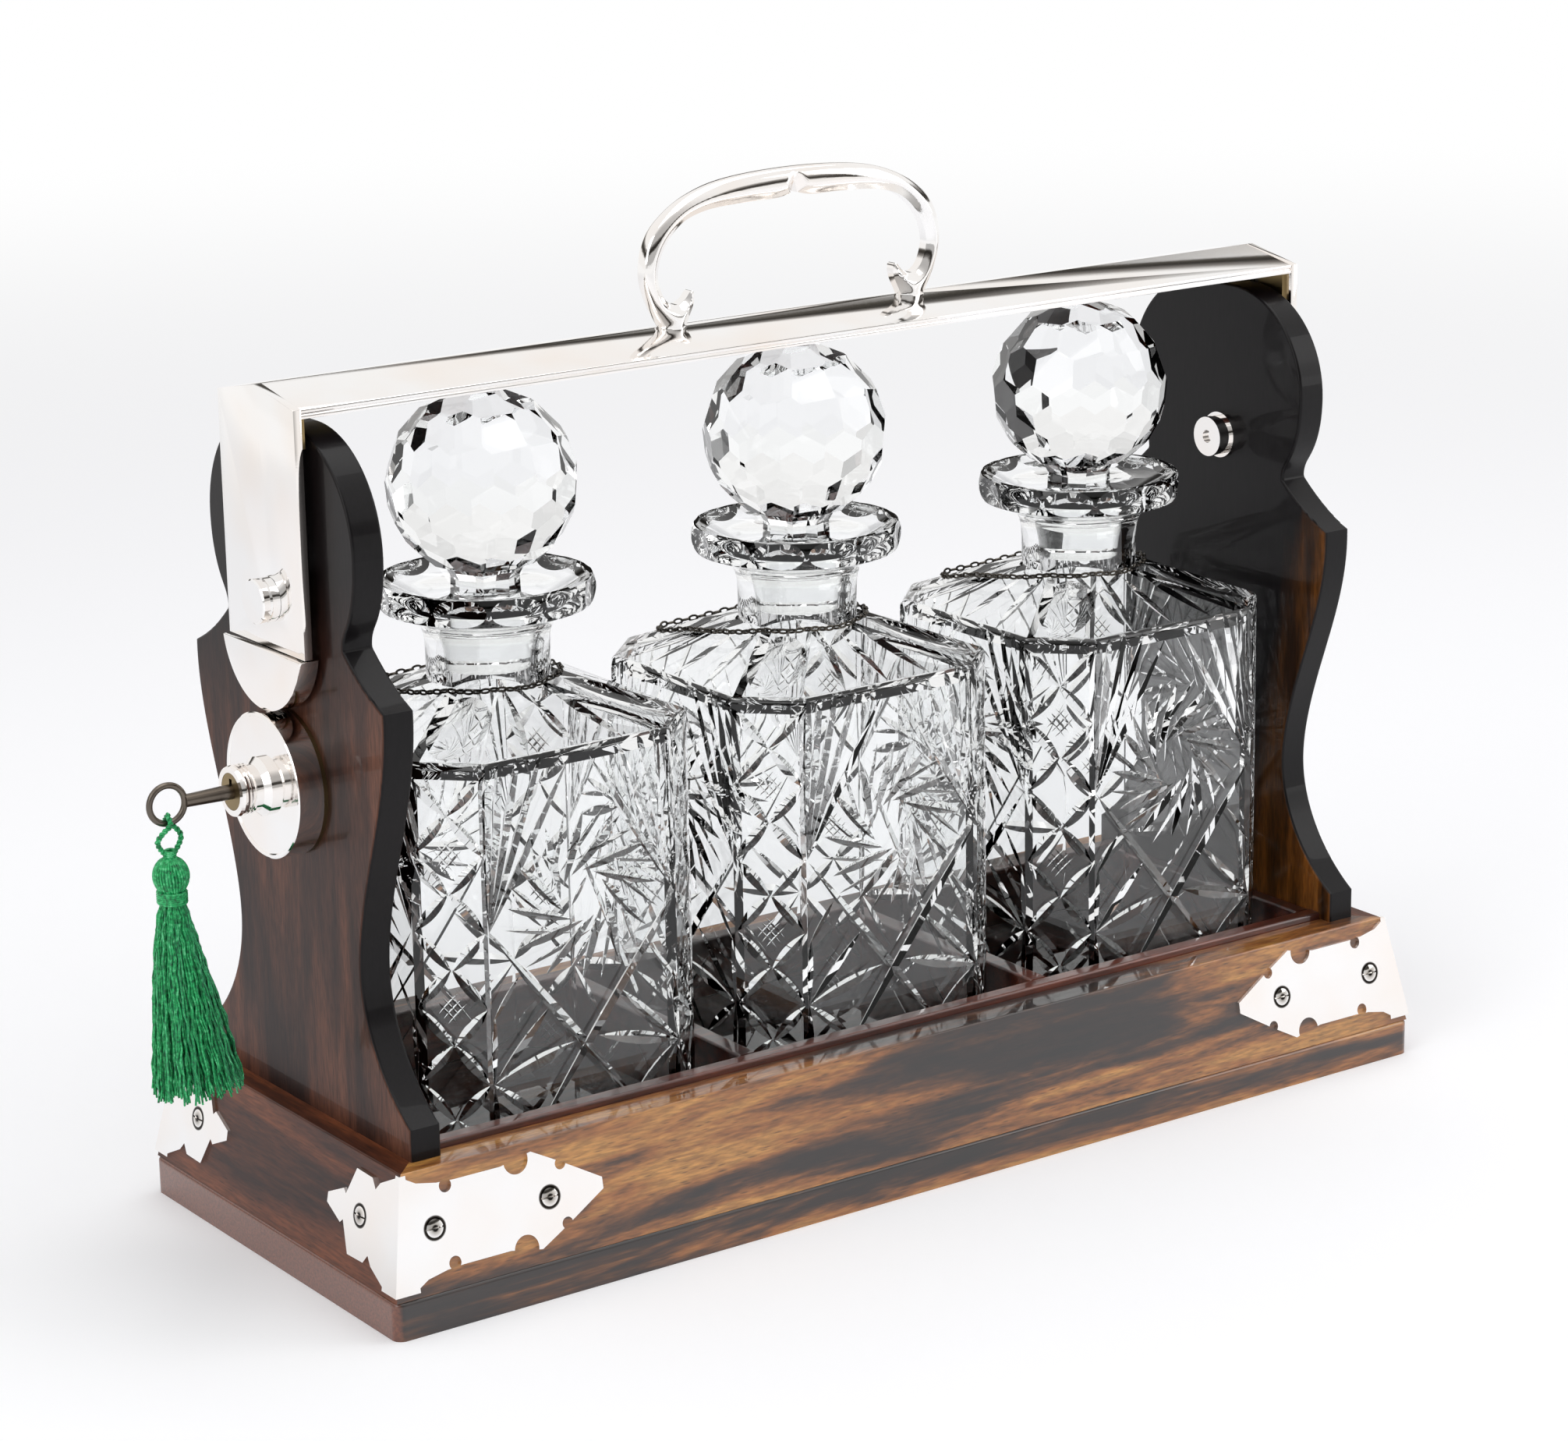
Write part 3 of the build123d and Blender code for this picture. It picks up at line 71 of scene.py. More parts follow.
def linear(code: str) -> tuple[float, float, float, float]:
    """Turn an sRGB hex colour into linear RGBA.

    Args:
        code: Six hex digits, with or without a leading hash.

    Returns:
        The linear red, green and blue, and an alpha of 1.
    """
    digits = code.lstrip("#")
    channels = [int(digits[at : at + 2], 16) / 255 for at in (0, 2, 4)]
    bent = [c / 12.92 if c <= 0.04045 else ((c + 0.055) / 1.055) ** 2.4 for c in channels]
    return (*bent, 1.0)


def node(tree: bpy.types.NodeTree, kind: str, links: dict | None = None, **settings) -> bpy.types.Node:
    """Add a node with its settings and links.

    Args:
        tree: The tree that gets the node.
        kind: The node's bl_idname.
        links: Input name or index to a value, or to the output socket that feeds it.
        **settings: Attributes of the node itself.

    Returns:
        The new node.
    """
    made = tree.nodes.new(kind)
    for name, value in settings.items():
        setattr(made, name, value)
    for key, value in (links or {}).items():
        socket = made.inputs[key]
        if isinstance(value, bpy.types.NodeSocket):
            tree.links.new(value, socket)
        else:
            socket.default_value = value
    return made


def ramp(
    tree: bpy.types.NodeTree,
    factor: bpy.types.NodeSocket,
    stops: Sequence[tuple[float, str]],
) -> bpy.types.NodeSocket:
    """Colour ramp over a factor.

    Args:
        tree: The tree that gets the ramp.
        factor: The socket that drives it.
        stops: Position and sRGB hex colour of each stop, in order.

    Returns:
        The ramp's colour output.
    """
    made = node(tree, "ShaderNodeValToRGB", {"Fac": factor})
    elements = made.color_ramp.elements
    while len(elements) < len(stops):
        elements.new(0.5)
    for element, (position, code) in zip(elements, stops):
        element.position = position
        element.color = linear(code)
    return made.outputs["Color"]


def new_material(name: str) -> tuple[bpy.types.Material, bpy.types.NodeTree]:
    """Make an empty node material.

    Args:
        name: The material's name.

    Returns:
        The material and its tree, which holds no node yet.
    """
    material = bpy.data.materials.new(name)
    material.use_nodes = True
    material.node_tree.nodes.clear()
    return material, material.node_tree


def finish_surface(tree: bpy.types.NodeTree, shader: bpy.types.Node) -> None:
    """Feed a shader to the material's surface."""
    node(tree, "ShaderNodeOutputMaterial", {"Surface": shader.outputs[0]})


# ------------------------------------------------------------------ finishes


class GrainRun(Enum):
    """The axis that a board's grain runs along."""

    ALONG_X = (1.0, 0.0, 0.0)
    ALONG_Y = (0.0, 1.0, 0.0)
    ALONG_Z = (0.0, 0.0, 1.0)


@dataclass(frozen=True)
class ToneZone:
    """Zone of a board in another tone: past a height or a depth, or within its thickness.

    direction weighs x, y and z in metres; the zone starts where that sum passes start. With folded, |x|
    counts from the middle of an upright's thickness, so that its edges get painted shade.
    """

    direction: tuple[float, float, float]
    start: float
    soft: float
    tone: str = "0b0709"
    wander: float = 0.0
    folded: bool = False

    def over(
        self,
        tree: bpy.types.NodeTree,
        place: bpy.types.NodeSocket,
        figure: bpy.types.NodeSocket,
        colour: bpy.types.NodeSocket,
    ) -> bpy.types.NodeSocket:
        """Lay the zone over a colour.

        Args:
            tree: The finish's tree.
            place: The point on the board.
            figure: The grain's figure, which makes the zone's border wander.
            colour: The colour below.

        Returns:
            The colour with the zone.
        """
        if self.folded:
            axes = node(tree, "ShaderNodeSeparateXYZ", {0: place}).outputs
            reach = node(tree, "ShaderNodeMath", {0: axes["X"]}, operation="ABSOLUTE").outputs[0]
            off = node(
                tree,
                "ShaderNodeMath",
                {0: reach, 1: self.direction[0]},
                operation="SUBTRACT",
            ).outputs[0]
            thick = node(tree, "ShaderNodeMath", {0: off}, operation="ABSOLUTE").outputs[0]
            past = node(tree, "ShaderNodeMath", {0: thick, 1: -1.0}, operation="MULTIPLY").outputs[0]
        else:
            past = node(
                tree,
                "ShaderNodeVectorMath",
                {0: place, 1: self.direction},
                operation="DOT_PRODUCT",
            ).outputs["Value"]
        moved = node(
            tree,
            "ShaderNodeMath",
            {0: figure, 1: self.wander, 2: past},
            operation="MULTIPLY_ADD",
        ).outputs[0]
        share = node(
            tree,
            "ShaderNodeMapRange",
            {
                "Value": moved,
                "From Min": self.start - self.soft + 0.5 * self.wander,
                "From Max": self.start + self.soft + 0.5 * self.wander,
            },
            interpolation_type="SMOOTHSTEP",
        ).outputs[0]
        mixed = node(
            tree,
            "ShaderNodeMix",
            {0: share, 6: colour, 7: linear(self.tone)},
            data_type="RGBA",
        )
        return mixed.outputs[2]


@dataclass(frozen=True)
class PolishedWood:
    """French-polished coromandel: black ribbons in brown wood under a mirror-like shellac coat.

    The figure is noise drawn out along the grain; fine fibre lines and short dark pores lie over it.
    """

    name: str
    run: GrainRun
    stops: tuple[tuple[float, str], ...]
    figure_mm: float = 20.0
    stretch: float = 9.0
    shift: tuple[float, float, float] = (0.0, 0.0, 0.0)
    fibre_depth: float = 0.35
    coat_weight: float = 1.0
    coat_roughness: float = 0.035
    specular: float = 0.5
    zones: tuple[ToneZone, ...] = ()

    def material(self) -> bpy.types.Material:
        """Build the finish.

        Returns:
            The material.
        """
        material, tree = new_material(self.name)
        place = node(tree, "ShaderNodeTexCoord").outputs["Object"]
        along = Vector(self.run.value)
        slow = [1 / self.stretch if axis else 1.0 for axis in along]
        grain = node(
            tree,
            "ShaderNodeMapping",
            {"Vector": place, "Location": self.shift, "Scale": slow},
        ).outputs["Vector"]
        figure = node(
            tree,
            "ShaderNodeTexNoise",
            {
                "Vector": grain,
                "Scale": 1000 / self.figure_mm,
                "Detail": 5.0,
                "Roughness": 0.58,
                "Distortion": 0.9,
            },
        ).outputs["Fac"]
        ribbons = node(
            tree,
            "ShaderNodeTexNoise",
            {
                "Vector": grain,
                "Scale": 4500 / self.figure_mm,
                "Detail": 3.0,
                "Roughness": 0.6,
                "Distortion": 0.4,
            },
        ).outputs["Fac"]
        blended = node(
            tree,
            "ShaderNodeMath",
            {0: ribbons, 1: 0.32, 2: figure},
            operation="MULTIPLY_ADD",
        ).outputs[0]
        centred = node(tree, "ShaderNodeMath", {0: blended, 1: 0.16}, operation="SUBTRACT").outputs[0]
        tone = ramp(tree, centred, self.stops)
        for zone in self.zones:
            tone = zone.over(tree, place, figure, tone)
        # fibres about half a millimetre wide, drawn out well past the figure
        fibre = node(
            tree,
            "ShaderNodeTexNoise",
            {"Vector": grain, "Scale": 1400.0, "Detail": 2.0, "Roughness": 0.5},
        ).outputs["Fac"]
        fibre_tone = node(
            tree,
            "ShaderNodeMapRange",
            {
                "Value": fibre,
                "From Min": 0.35,
                "From Max": 0.65,
                "To Min": 1.0 - self.fibre_depth,
                "To Max": 1.0 + 0.4 * self.fibre_depth,
            },
        ).outputs[0]
        # pores: short dark dashes, a few tenths of a millimetre across
        pores = node(
            tree,
            "ShaderNodeTexVoronoi",
            {"Vector": grain, "Scale": 900.0, "Randomness": 1.0},
            feature="F1",
        ).outputs["Distance"]
        pore_tone = node(
            tree,
            "ShaderNodeMapRange",
            {
                "Value": pores,
                "From Min": 0.08,
                "From Max": 0.24,
                "To Min": 0.45,
                "To Max": 1.0,
            },
        ).outputs[0]
        shade = node(
            tree,
            "ShaderNodeMath",
            {0: fibre_tone, 1: pore_tone},
            operation="MULTIPLY",
        ).outputs[0]
        colour = node(
            tree,
            "ShaderNodeVectorMath",
            {0: tone, "Scale": shade},
            operation="SCALE",
        ).outputs[0]
        ripple = node(
            tree,
            "ShaderNodeBump",
            {"Height": fibre, "Strength": 0.04, "Distance": 0.0002},
        ).outputs["Normal"]
        shader = node(
            tree,
            "ShaderNodeBsdfPrincipled",
            {
                "Base Color": colour,
                "Roughness": 0.42,
                "IOR": 1.5,
                "Specular IOR Level": self.specular,
                "Coat Weight": self.coat_weight,
                "Coat Roughness": self.coat_roughness,
                "Coat IOR": 1.52,
                "Normal": ripple,
            },
        )
        finish_surface(tree, shader)
        return material


@dataclass(frozen=True)
class PolishedMetal:
    """Polished or dulled metal with fine rubbing marks and a slow wander in its tone."""

    name: str
    tone: str
    warm_tone: str
    roughness: float = 0.07
    rubbing: float = 0.05
    wander_mm: float = 30.0
    # screw heads that get painted shade in their recess and round their rim
    shaded_screws: tuple[tuple[float, float, float], ...] = ()

    def screw_shade(self, tree: bpy.types.NodeTree, place: bpy.types.NodeSocket) -> bpy.types.NodeSocket:
        """Painted shade in the middle of each screw head, where it is recessed, and in the ring round it.

        Args:
            tree: The finish's tree.
            place: The point on the metal; screws are alike in all four corners, so it is folded.

        Returns:
            How clean the metal is, from 0 to 1.
        """
        folded = node(tree, "ShaderNodeVectorMath", {0: place}, operation="ABSOLUTE").outputs[0]
        nearest = None
        for spot in self.shaded_screws:
            reach = node(
                tree,
                "ShaderNodeVectorMath",
                {0: folded, 1: spot},
                operation="DISTANCE",
            ).outputs["Value"]
            if nearest is None:
                nearest = reach
            else:
                nearest = node(
                    tree,
                    "ShaderNodeMath",
                    {0: nearest, 1: reach},
                    operation="MINIMUM",
                ).outputs[0]
        # radii in tenths of a centimetre: painted shade in a 0.9 mm recess, and in a ring from 2.7 to 3.4
        # mm
        scaled = node(tree, "ShaderNodeMath", {0: nearest, 1: 200.0}, operation="MULTIPLY").outputs[0]
        dark, unshaded = "1c1a18", "ffffff"
        stops = [(0.0, dark), (0.17, dark), (0.24, "b9b6b1"), (0.5, unshaded), (0.53, dark)]
        return ramp(tree, scaled, [*stops, (0.66, "3a3632"), (0.73, unshaded)])

    def material(self) -> bpy.types.Material:
        """Build the finish.

        Returns:
            The material.
        """
        material, tree = new_material(self.name)
        place = node(tree, "ShaderNodeTexCoord").outputs["Object"]
        wander = node(
            tree,
            "ShaderNodeTexNoise",
            {"Vector": place, "Scale": 1000 / self.wander_mm, "Detail": 2.0},
        ).outputs["Fac"]
        colour = ramp(tree, wander, [(0.35, self.tone), (0.7, self.warm_tone)])
        # painted shade round the screw heads darkens the colour
        if self.shaded_screws:
            colour = node(
                tree,
                "ShaderNodeVectorMath",
                {0: colour, 1: self.screw_shade(tree, place)},
                operation="MULTIPLY",
            ).outputs[0]
        # rubbing marks a fraction of a millimetre wide, left by years of polishing
        stretched = node(
            tree,
            "ShaderNodeMapping",
            {"Vector": place, "Rotation": (0.3, 0.2, 0.5), "Scale": (1.0, 9.0, 9.0)},
        ).outputs["Vector"]
        marks = node(
            tree,
            "ShaderNodeTexNoise",
            {"Vector": stretched, "Scale": 260.0, "Detail": 4.0, "Roughness": 0.7},
        ).outputs["Fac"]
        rough = node(
            tree,
            "ShaderNodeMapRange",
            {
                "Value": marks,
                "From Min": 0.3,
                "From Max": 0.75,
                "To Min": self.roughness,
                "To Max": self.roughness + self.rubbing,
            },
        ).outputs[0]
        normal = node(
            tree,
            "ShaderNodeBump",
            {"Height": marks, "Strength": 0.03, "Distance": 0.0002},
        ).outputs["Normal"]
        shader = node(
            tree,
            "ShaderNodeBsdfPrincipled",
            {
                "Base Color": colour,
                "Metallic": 1.0,
                "Roughness": rough,
                "Normal": normal,
            },
        )
        finish_surface(tree, shader)
        return material


@dataclass(frozen=True)
class CutCrystal:
    """Lead crystal, wheel cut and acid polished: colourless, with sharp bright refractions."""

    name: str = "cut_lead_crystal"
    tint: str = "fbfcfc"

    def material(self) -> bpy.types.Material:
        """Build the finish.

        Returns:
            The material.
        """
        material, tree = new_material(self.name)
        shader = node(
            tree,
            "ShaderNodeBsdfPrincipled",
            {
                "Base Color": linear(self.tint),
                "Roughness": 0.0,
                "IOR": 1.54,
                "Transmission Weight": 1.0,
            },
        )
        finish_surface(tree, shader)
        return material


@dataclass(frozen=True)
class TasselSilk:
    """Twisted emerald silk: a bright sheen over a deep green, with darker threads and scattered pale
    painted highlights among it.
    """

    name: str = "emerald_silk"
    dark: str = "055c33"
    bright: str = "1fae62"

    def material(self) -> bpy.types.Material:
        """Build the finish.

        Returns:
            The material.
        """
        material, tree = new_material(self.name)
        place = node(tree, "ShaderNodeTexCoord").outputs["Object"]
        # threads about 0.4 mm wide, with a twist that repeats along them
        threads = node(
            tree,
            "ShaderNodeTexNoise",
            {"Vector": place, "Scale": 900.0, "Detail": 2.0, "Roughness": 0.6},
        ).outputs["Fac"]
        # the palest stop is a painted highlight, a sheen glint scattered at random along the threads
        colour = ramp(tree, threads, [(0.32, self.dark), (0.55, self.bright), (0.8, "7fdca6")])
        shader = node(
            tree,
            "ShaderNodeBsdfPrincipled",
            {
                "Base Color": colour,
                "Roughness": 0.42,
                "Sheen Weight": 0.6,
                "Sheen Roughness": 0.3,
                "Sheen Tint": linear("7fe0b4"),
            },
        )
        finish_surface(tree, shader)
        return material


# ------------------------------------------------------------------ mesh helpers


def mesh_object(name: str, mesh: bpy.types.Mesh) -> bpy.types.Object:
    """Link a new object that shows a mesh, at the origin.

    Args:
        name: The object's name.
        mesh: The mesh, with its place in its vertices.

    Returns:
        The object.
    """
    made = bpy.data.objects.new(name, mesh)
    bpy.context.scene.collection.objects.link(made)
    return made


def mesh_from(
    name: str,
    points: Iterable[Sequence[float]],
    faces: Iterable[Sequence[int]],
) -> bpy.types.Mesh:
    """Make a mesh with outward normals.

    Args:
        name: The mesh's name.
        points: Its vertices, in metres.
        faces: Its faces, as vertex numbers.

    Returns:
        The mesh.
    """
    mesh = bpy.data.meshes.new(name)
    mesh.from_pydata([tuple(p) for p in points], [], [tuple(f) for f in faces])
    shell = bmesh.new()
    shell.from_mesh(mesh)
    bmesh.ops.remove_doubles(shell, verts=shell.verts, dist=1e-7)
    bmesh.ops.recalc_face_normals(shell, faces=shell.faces)
    shell.to_mesh(mesh)
    shell.free()
    return mesh


def smooth_by_angle(piece: bpy.types.Object, degrees: float) -> None:
    """Shade a piece smooth, with sharp edges past an angle."""
    for polygon in piece.data.polygons:
        polygon.use_smooth = True
    shell = bmesh.new()
    shell.from_mesh(piece.data)
    limit = math.radians(degrees)
    for edge in shell.edges:
        edge.smooth = len(edge.link_faces) == 2 and edge.calc_face_angle(math.pi) < limit
    shell.to_mesh(piece.data)
    shell.free()


def applied(piece: bpy.types.Object) -> bpy.types.Object:
    """Turn a piece's modifiers into its mesh.

    Args:
        piece: The piece with live modifiers.

    Returns:
        The same piece, with the result as its mesh and no modifier.
    """
    graph = bpy.context.evaluated_depsgraph_get()
    result = bpy.data.meshes.new_from_object(piece.evaluated_get(graph))
    piece.modifiers.clear()
    piece.data = result
    return piece


def seat(
    piece: bpy.types.Object,
    body: str,
    material: bpy.types.Material,
    stands_for: Sequence[str] = (),
) -> None:
    """Dress a finished piece and put it on its body.

    Args:
        piece: The piece.
        body: The body it rides on.
        material: Its finish.
        stands_for: The CAD nodes that it replaces.
    """
    piece.data.materials.clear()
    piece.data.materials.append(material)
    if stands_for:
        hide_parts(*stands_for)
    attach(piece, body)
    LOG.info("%s: %d faces on %s", piece.name, len(piece.data.polygons), body)


def softened_copy(
    nodes: dict[str, bpy.types.Object],
    source: str,
    name: str,
    width_mm: float,
    flat_degrees: float = 1.0,
) -> bpy.types.Object:
    """Copy a CAD node, merge its loose triangles and take the sharpness off its edges.

    Args:
        nodes: The frame's nodes.
        source: The node to copy.
        name: The new piece's name.
        width_mm: How far the edge breaks reach from each edge.
        flat_degrees: Faces within this angle become one flat face first.

    Returns:
        The new piece, not yet dressed.
    """
    mesh = nodes[source].data.copy()
    mesh.name = name
    shell = bmesh.new()
    shell.from_mesh(mesh)
    bmesh.ops.remove_doubles(shell, verts=shell.verts, dist=2e-6)
    bmesh.ops.dissolve_limit(
        shell,
        angle_limit=math.radians(flat_degrees),
        verts=shell.verts,
        edges=shell.edges,
    )
    shell.to_mesh(mesh)
    shell.free()
    piece = mesh_object(name, mesh)
    bevel = piece.modifiers.new("edges", "BEVEL")
    bevel.width = width_mm * MM
    bevel.segments = 2
    bevel.limit_method = "ANGLE"
    bevel.angle_limit = math.radians(28)
    bevel.use_clamp_overlap = True
    bevel.harden_normals = False
    applied(piece)
    smooth_by_angle(piece, 35)
    return piece


# ------------------------------------------------------------------ studio


@dataclass
class Studio:
    """Camera, floor, world and lamps."""

    camera_place: tuple[float, float, float] = (-0.7067, -0.9955, 0.4675)
    right: tuple[float, float, float] = (0.8148, -0.5795, -0.0164)
    forward: tuple[float, float, float] = (0.5546, 0.7874, -0.2691)
    lens_mm: float = 97.77
    sensor_mm: float = 36.0
    floor_half: float = 6.0

    def camera(self) -> None:
        """Set the camera where the photograph was taken from."""
        data = bpy.data.cameras.new("camera")
        data.lens = self.lens_mm
        data.sensor_width = self.sensor_mm
        data.clip_start = 0.01
        data.clip_end = 50.0
        camera = bpy.data.objects.new("camera", data)
        bpy.context.scene.collection.objects.link(camera)
        back = -Vector(self.forward).normalized()
        right = Vector(self.right)
        right = (right - back * right.dot(back)).normalized()
        up = back.cross(right)
        turn = Matrix((right, up, back)).transposed().to_4x4()
        camera.matrix_world = Matrix.Translation(Vector(self.camera_place)) @ turn
        bpy.context.scene.camera = camera

    def world(self) -> None:
        """Light the room like a white tent, with a dimmer side behind the camera."""
        world = bpy.data.worlds.new("white_tent")
        bpy.context.scene.world = world
        world.use_nodes = True
        tree = world.node_tree
        tree.nodes.clear()
        look = node(tree, "ShaderNodeTexCoord").outputs["Generated"]
        rays = node(tree, "ShaderNodeLightPath").outputs
        # how far a ray heads to the dim front of the room, where the photographer stands
        facing = node(
            tree,
            "ShaderNodeVectorMath",
            {0: look, 1: Vector((-0.42, -0.88, 0.12)).normalized()},
            operation="DOT_PRODUCT",
        ).outputs["Value"]
        dim = node(
            tree,
            "ShaderNodeMapRange",
            {
                "Value": facing,
                "From Min": 0.55,
                "From Max": 0.9,
                "To Min": 1.0,
                "To Max": 0.5,
            },
            interpolation_type="SMOOTHSTEP",
        ).outputs[0]
        room = node(
            tree,
            "ShaderNodeVectorMath",
            {0: linear("fdfcfb")[:3], "Scale": dim},
            operation="SCALE",
        ).outputs[0]
        # mirrored rays also meet the dark gap between the backdrop's top and the ceiling's soft box
        height = node(tree, "ShaderNodeSeparateXYZ", {0: look}).outputs["Z"]
        gap = ramp(
            tree,
            height,
            [(0.13, "ffffff"), (0.17, "57544f"), (0.24, "33312e"), (0.31, "8f8c89"), (0.37, "ffffff")],
        )
        banded = node(tree, "ShaderNodeVectorMath", {0: room, 1: gap}, operation="MULTIPLY").outputs[0]
        mirrored = node(
            tree,
            "ShaderNodeMath",
            {0: rays["Is Glossy Ray"], 1: rays["Is Transmission Ray"]},
            operation="SUBTRACT",
            use_clamp=True,
        ).outputs[0]
        glossy = node(
            tree,
            "ShaderNodeMix",
            {0: mirrored, 6: room, 7: banded},
            data_type="RGBA",
        ).outputs[2]
        bent = node(
            tree,
            "ShaderNodeMath",
            {0: rays["Is Glossy Ray"], 1: rays["Is Transmission Ray"]},
            operation="MAXIMUM",
        ).outputs[0]
        lit = node(tree, "ShaderNodeBackground", {"Color": linear("fbfbfd"), "Strength": 0.62})
        reflected = node(tree, "ShaderNodeBackground", {"Color": glossy, "Strength": 0.98})
        white = node(tree, "ShaderNodeBackground", {"Color": (1, 1, 1, 1), "Strength": 1.0})
        first = node(
            tree,
            "ShaderNodeMixShader",
            {0: bent, 1: lit.outputs[0], 2: reflected.outputs[0]},
        )
        second = node(
            tree,
            "ShaderNodeMixShader",
            {0: rays["Is Camera Ray"], 1: first.outputs[0], 2: white.outputs[0]},
        )
        node(tree, "ShaderNodeOutputWorld", {"Surface": second.outputs[0]})

    def floor(self) -> None:
        """Lay a plain pale floor that keeps the object's shadow and runs into the white room."""
        half = self.floor_half
        mesh = mesh_from(
            "floor",
            [(-half, -half, 0), (half, -half, 0), (half, half, 0), (-half, half, 0)],
            [(0, 1, 2, 3)],
        )
        floor = mesh_object("floor", mesh)
        material, tree = new_material("pale_paper_floor")
        place = node(tree, "ShaderNodeTexCoord").outputs["Object"]
        reach = node(tree, "ShaderNodeVectorMath", {0: place}, operation="LENGTH").outputs["Value"]
        fade = node(
            tree,
            "ShaderNodeMapRange",
            {"Value": reach, "From Min": 0.6, "From Max": 2.2},
            interpolation_type="SMOOTHSTEP",
        ).outputs[0]
        paper = node(tree, "ShaderNodeBsdfDiffuse", {"Color": linear("f6f6f7")})
        glow = node(tree, "ShaderNodeEmission", {"Color": (1, 1, 1, 1), "Strength": 0.1})
        lifted = node(tree, "ShaderNodeAddShader", {0: paper.outputs[0], 1: glow.outputs[0]})
        far = node(tree, "ShaderNodeEmission", {"Color": (1, 1, 1, 1), "Strength": 1.0})
        shader = node(
            tree,
            "ShaderNodeMixShader",
            {0: fade, 1: lifted.outputs[0], 2: far.outputs[0]},
        )
        finish_surface(tree, shader)
        mesh.materials.append(material)

    def lamp(
        self,
        name: str,
        place: Sequence[float],
        size: tuple[float, float],
        watts: float,
        tone: str = "ffffff",
    ) -> None:
        """Hang a soft box that points at the middle of the stand.

        Args:
            name: The lamp's name.
            place: Where it hangs.
            size: Its width and height.
            watts: Its power.
            tone: Its colour.
        """
        data = bpy.data.lights.new(name, "AREA")
        data.shape = "RECTANGLE"
        data.size, data.size_y = size
        data.energy = watts
        data.color = linear(tone)[:3]
        lamp = bpy.data.objects.new(name, data)
        bpy.context.scene.collection.objects.link(lamp)
        aim = Vector((0, 0, 0.12)) - Vector(place)
        turn = aim.to_track_quat("-Z", "Y").to_matrix().to_4x4()
        lamp.matrix_world = Matrix.Translation(Vector(place)) @ turn

    def build(self) -> None:
        """Set everything up, with the look of the colours left plain."""
        bpy.context.scene.view_settings.view_transform = "Standard"
        self.camera()
        self.world()
        self.floor()
        self.lamp("top_box", (0.1, -0.1, 1.6), (1.6, 1.2), 9.0)
        self.lamp("left_box", (-1.5, -0.5, 0.9), (0.9, 1.2), 6.0)
        self.lamp("right_box", (1.4, -1.0, 0.8), (0.8, 1.2), 6.0)


# ------------------------------------------------------------------ wooden stand


FIGURED_STOPS = (
    (0.30, "0b0605"),
    (0.40, "21100a"),
    (0.46, "4b2a12"),
    (0.54, "965c29"),
    (0.64, "c08843"),
    (0.76, "8a5526"),
)
UPRIGHT_STOPS = (
    (0.34, "2a1712"),
    (0.46, "43271d"),
    (0.58, "5e3828"),
    (0.72, "6f4532"),
)
GOLDEN_STOPS = (
    (0.34, "2a1608"),
    (0.46, "53300f"),
    (0.58, "7d4a1a"),
    (0.72, "8c5a26"),
)
END_STOPS = (
    (0.34, "2c130b"),
    (0.46, "552c1a"),
    (0.58, "7a4327"),
    (0.72, "93552f"),
)
LINING_STOPS = (
    (0.34, "2a0f09"),
    (0.50, "4d1f12"),
    (0.66, "6e311b"),
)


@dataclass
class WoodenStand:
    """Plinth, rails, floor, linings and uprights, which keep their CAD shapes."""

    nodes: dict[str, bpy.types.Object]

    def dress(self) -> None:
        """Give each board its cut of wood."""
        front = PolishedWood(
            "coromandel_front",
            GrainRun.ALONG_X,
            FIGURED_STOPS,
            figure_mm=24.0,
            stretch=7.0,
            shift=(0.031, 0.4, 0.1),
        ).material()
        ends = PolishedWood(
            "coromandel_ends",
            GrainRun.ALONG_Y,
            END_STOPS,
            figure_mm=26.0,
            shift=(0.7, 0.02, 0.3),
            coat_weight=0.25,
            specular=0.2,
        ).material()
        # painted shade: the uprights' sawn edges are painted near-black, and the top of both boards is
        # near-black too
        edges = ToneZone((0.16659, 0, 0), -0.0046, 0.0002, "0a0709", folded=True)
        left_upright = PolishedWood(
            "coromandel_left_upright",
            GrainRun.ALONG_Z,
            UPRIGHT_STOPS,
            figure_mm=22.0,
            stretch=8.0,
            shift=(0.2, 0.6, 0.05),
            coat_weight=0.16,
            specular=0.15,
            zones=(ToneZone((0, 0.25, 1), 0.172, 0.022, "120c0c", wander=0.05), edges),
        ).material()
        right_upright = PolishedWood(
            "coromandel_right_upright",
            GrainRun.ALONG_Z,
            GOLDEN_STOPS,
            figure_mm=17.0,
            stretch=8.0,
            shift=(0.5, 0.13, 0.35),
            coat_weight=0.16,
            specular=0.15,
            zones=(ToneZone((0, 0.72, 0.19), -0.0015, 0.006, wander=0.03), edges),
        ).material()
        plinth = PolishedWood(
            "coromandel_plinth",
            GrainRun.ALONG_X,
            FIGURED_STOPS,
            figure_mm=18.0,
            stretch=9.0,
            shift=(0.11, 0.7, 0.9),
            zones=(
                ToneZone((-1, 0, 0), 0.1835, 0.0008, "713c25"),
                ToneZone((1, 0, 0), 0.1835, 0.0008, "713c25"),
            ),
        ).material()
        lining = PolishedWood(
            "red_lining",
            GrainRun.ALONG_X,
            LINING_STOPS,
            figure_mm=14.0,
            coat_roughness=0.09,
        ).material()
        chosen = {
            front: ("front_rail", "back_rail"),
            ends: ("left_rail", "right_rail"),
            left_upright: ("left_upright",),
            right_upright: ("right_upright",),
            plinth: ("plinth",),
            lining: (
                "floor_board",
                "front_lining",
                "back_lining",
                "left_lining",
                "right_lining",
                "left_divider",
                "right_divider",
                "bar_core",
            ),
        }
        for material, names in chosen.items():
            for name in names:
                dress_node(self.nodes[name], material)


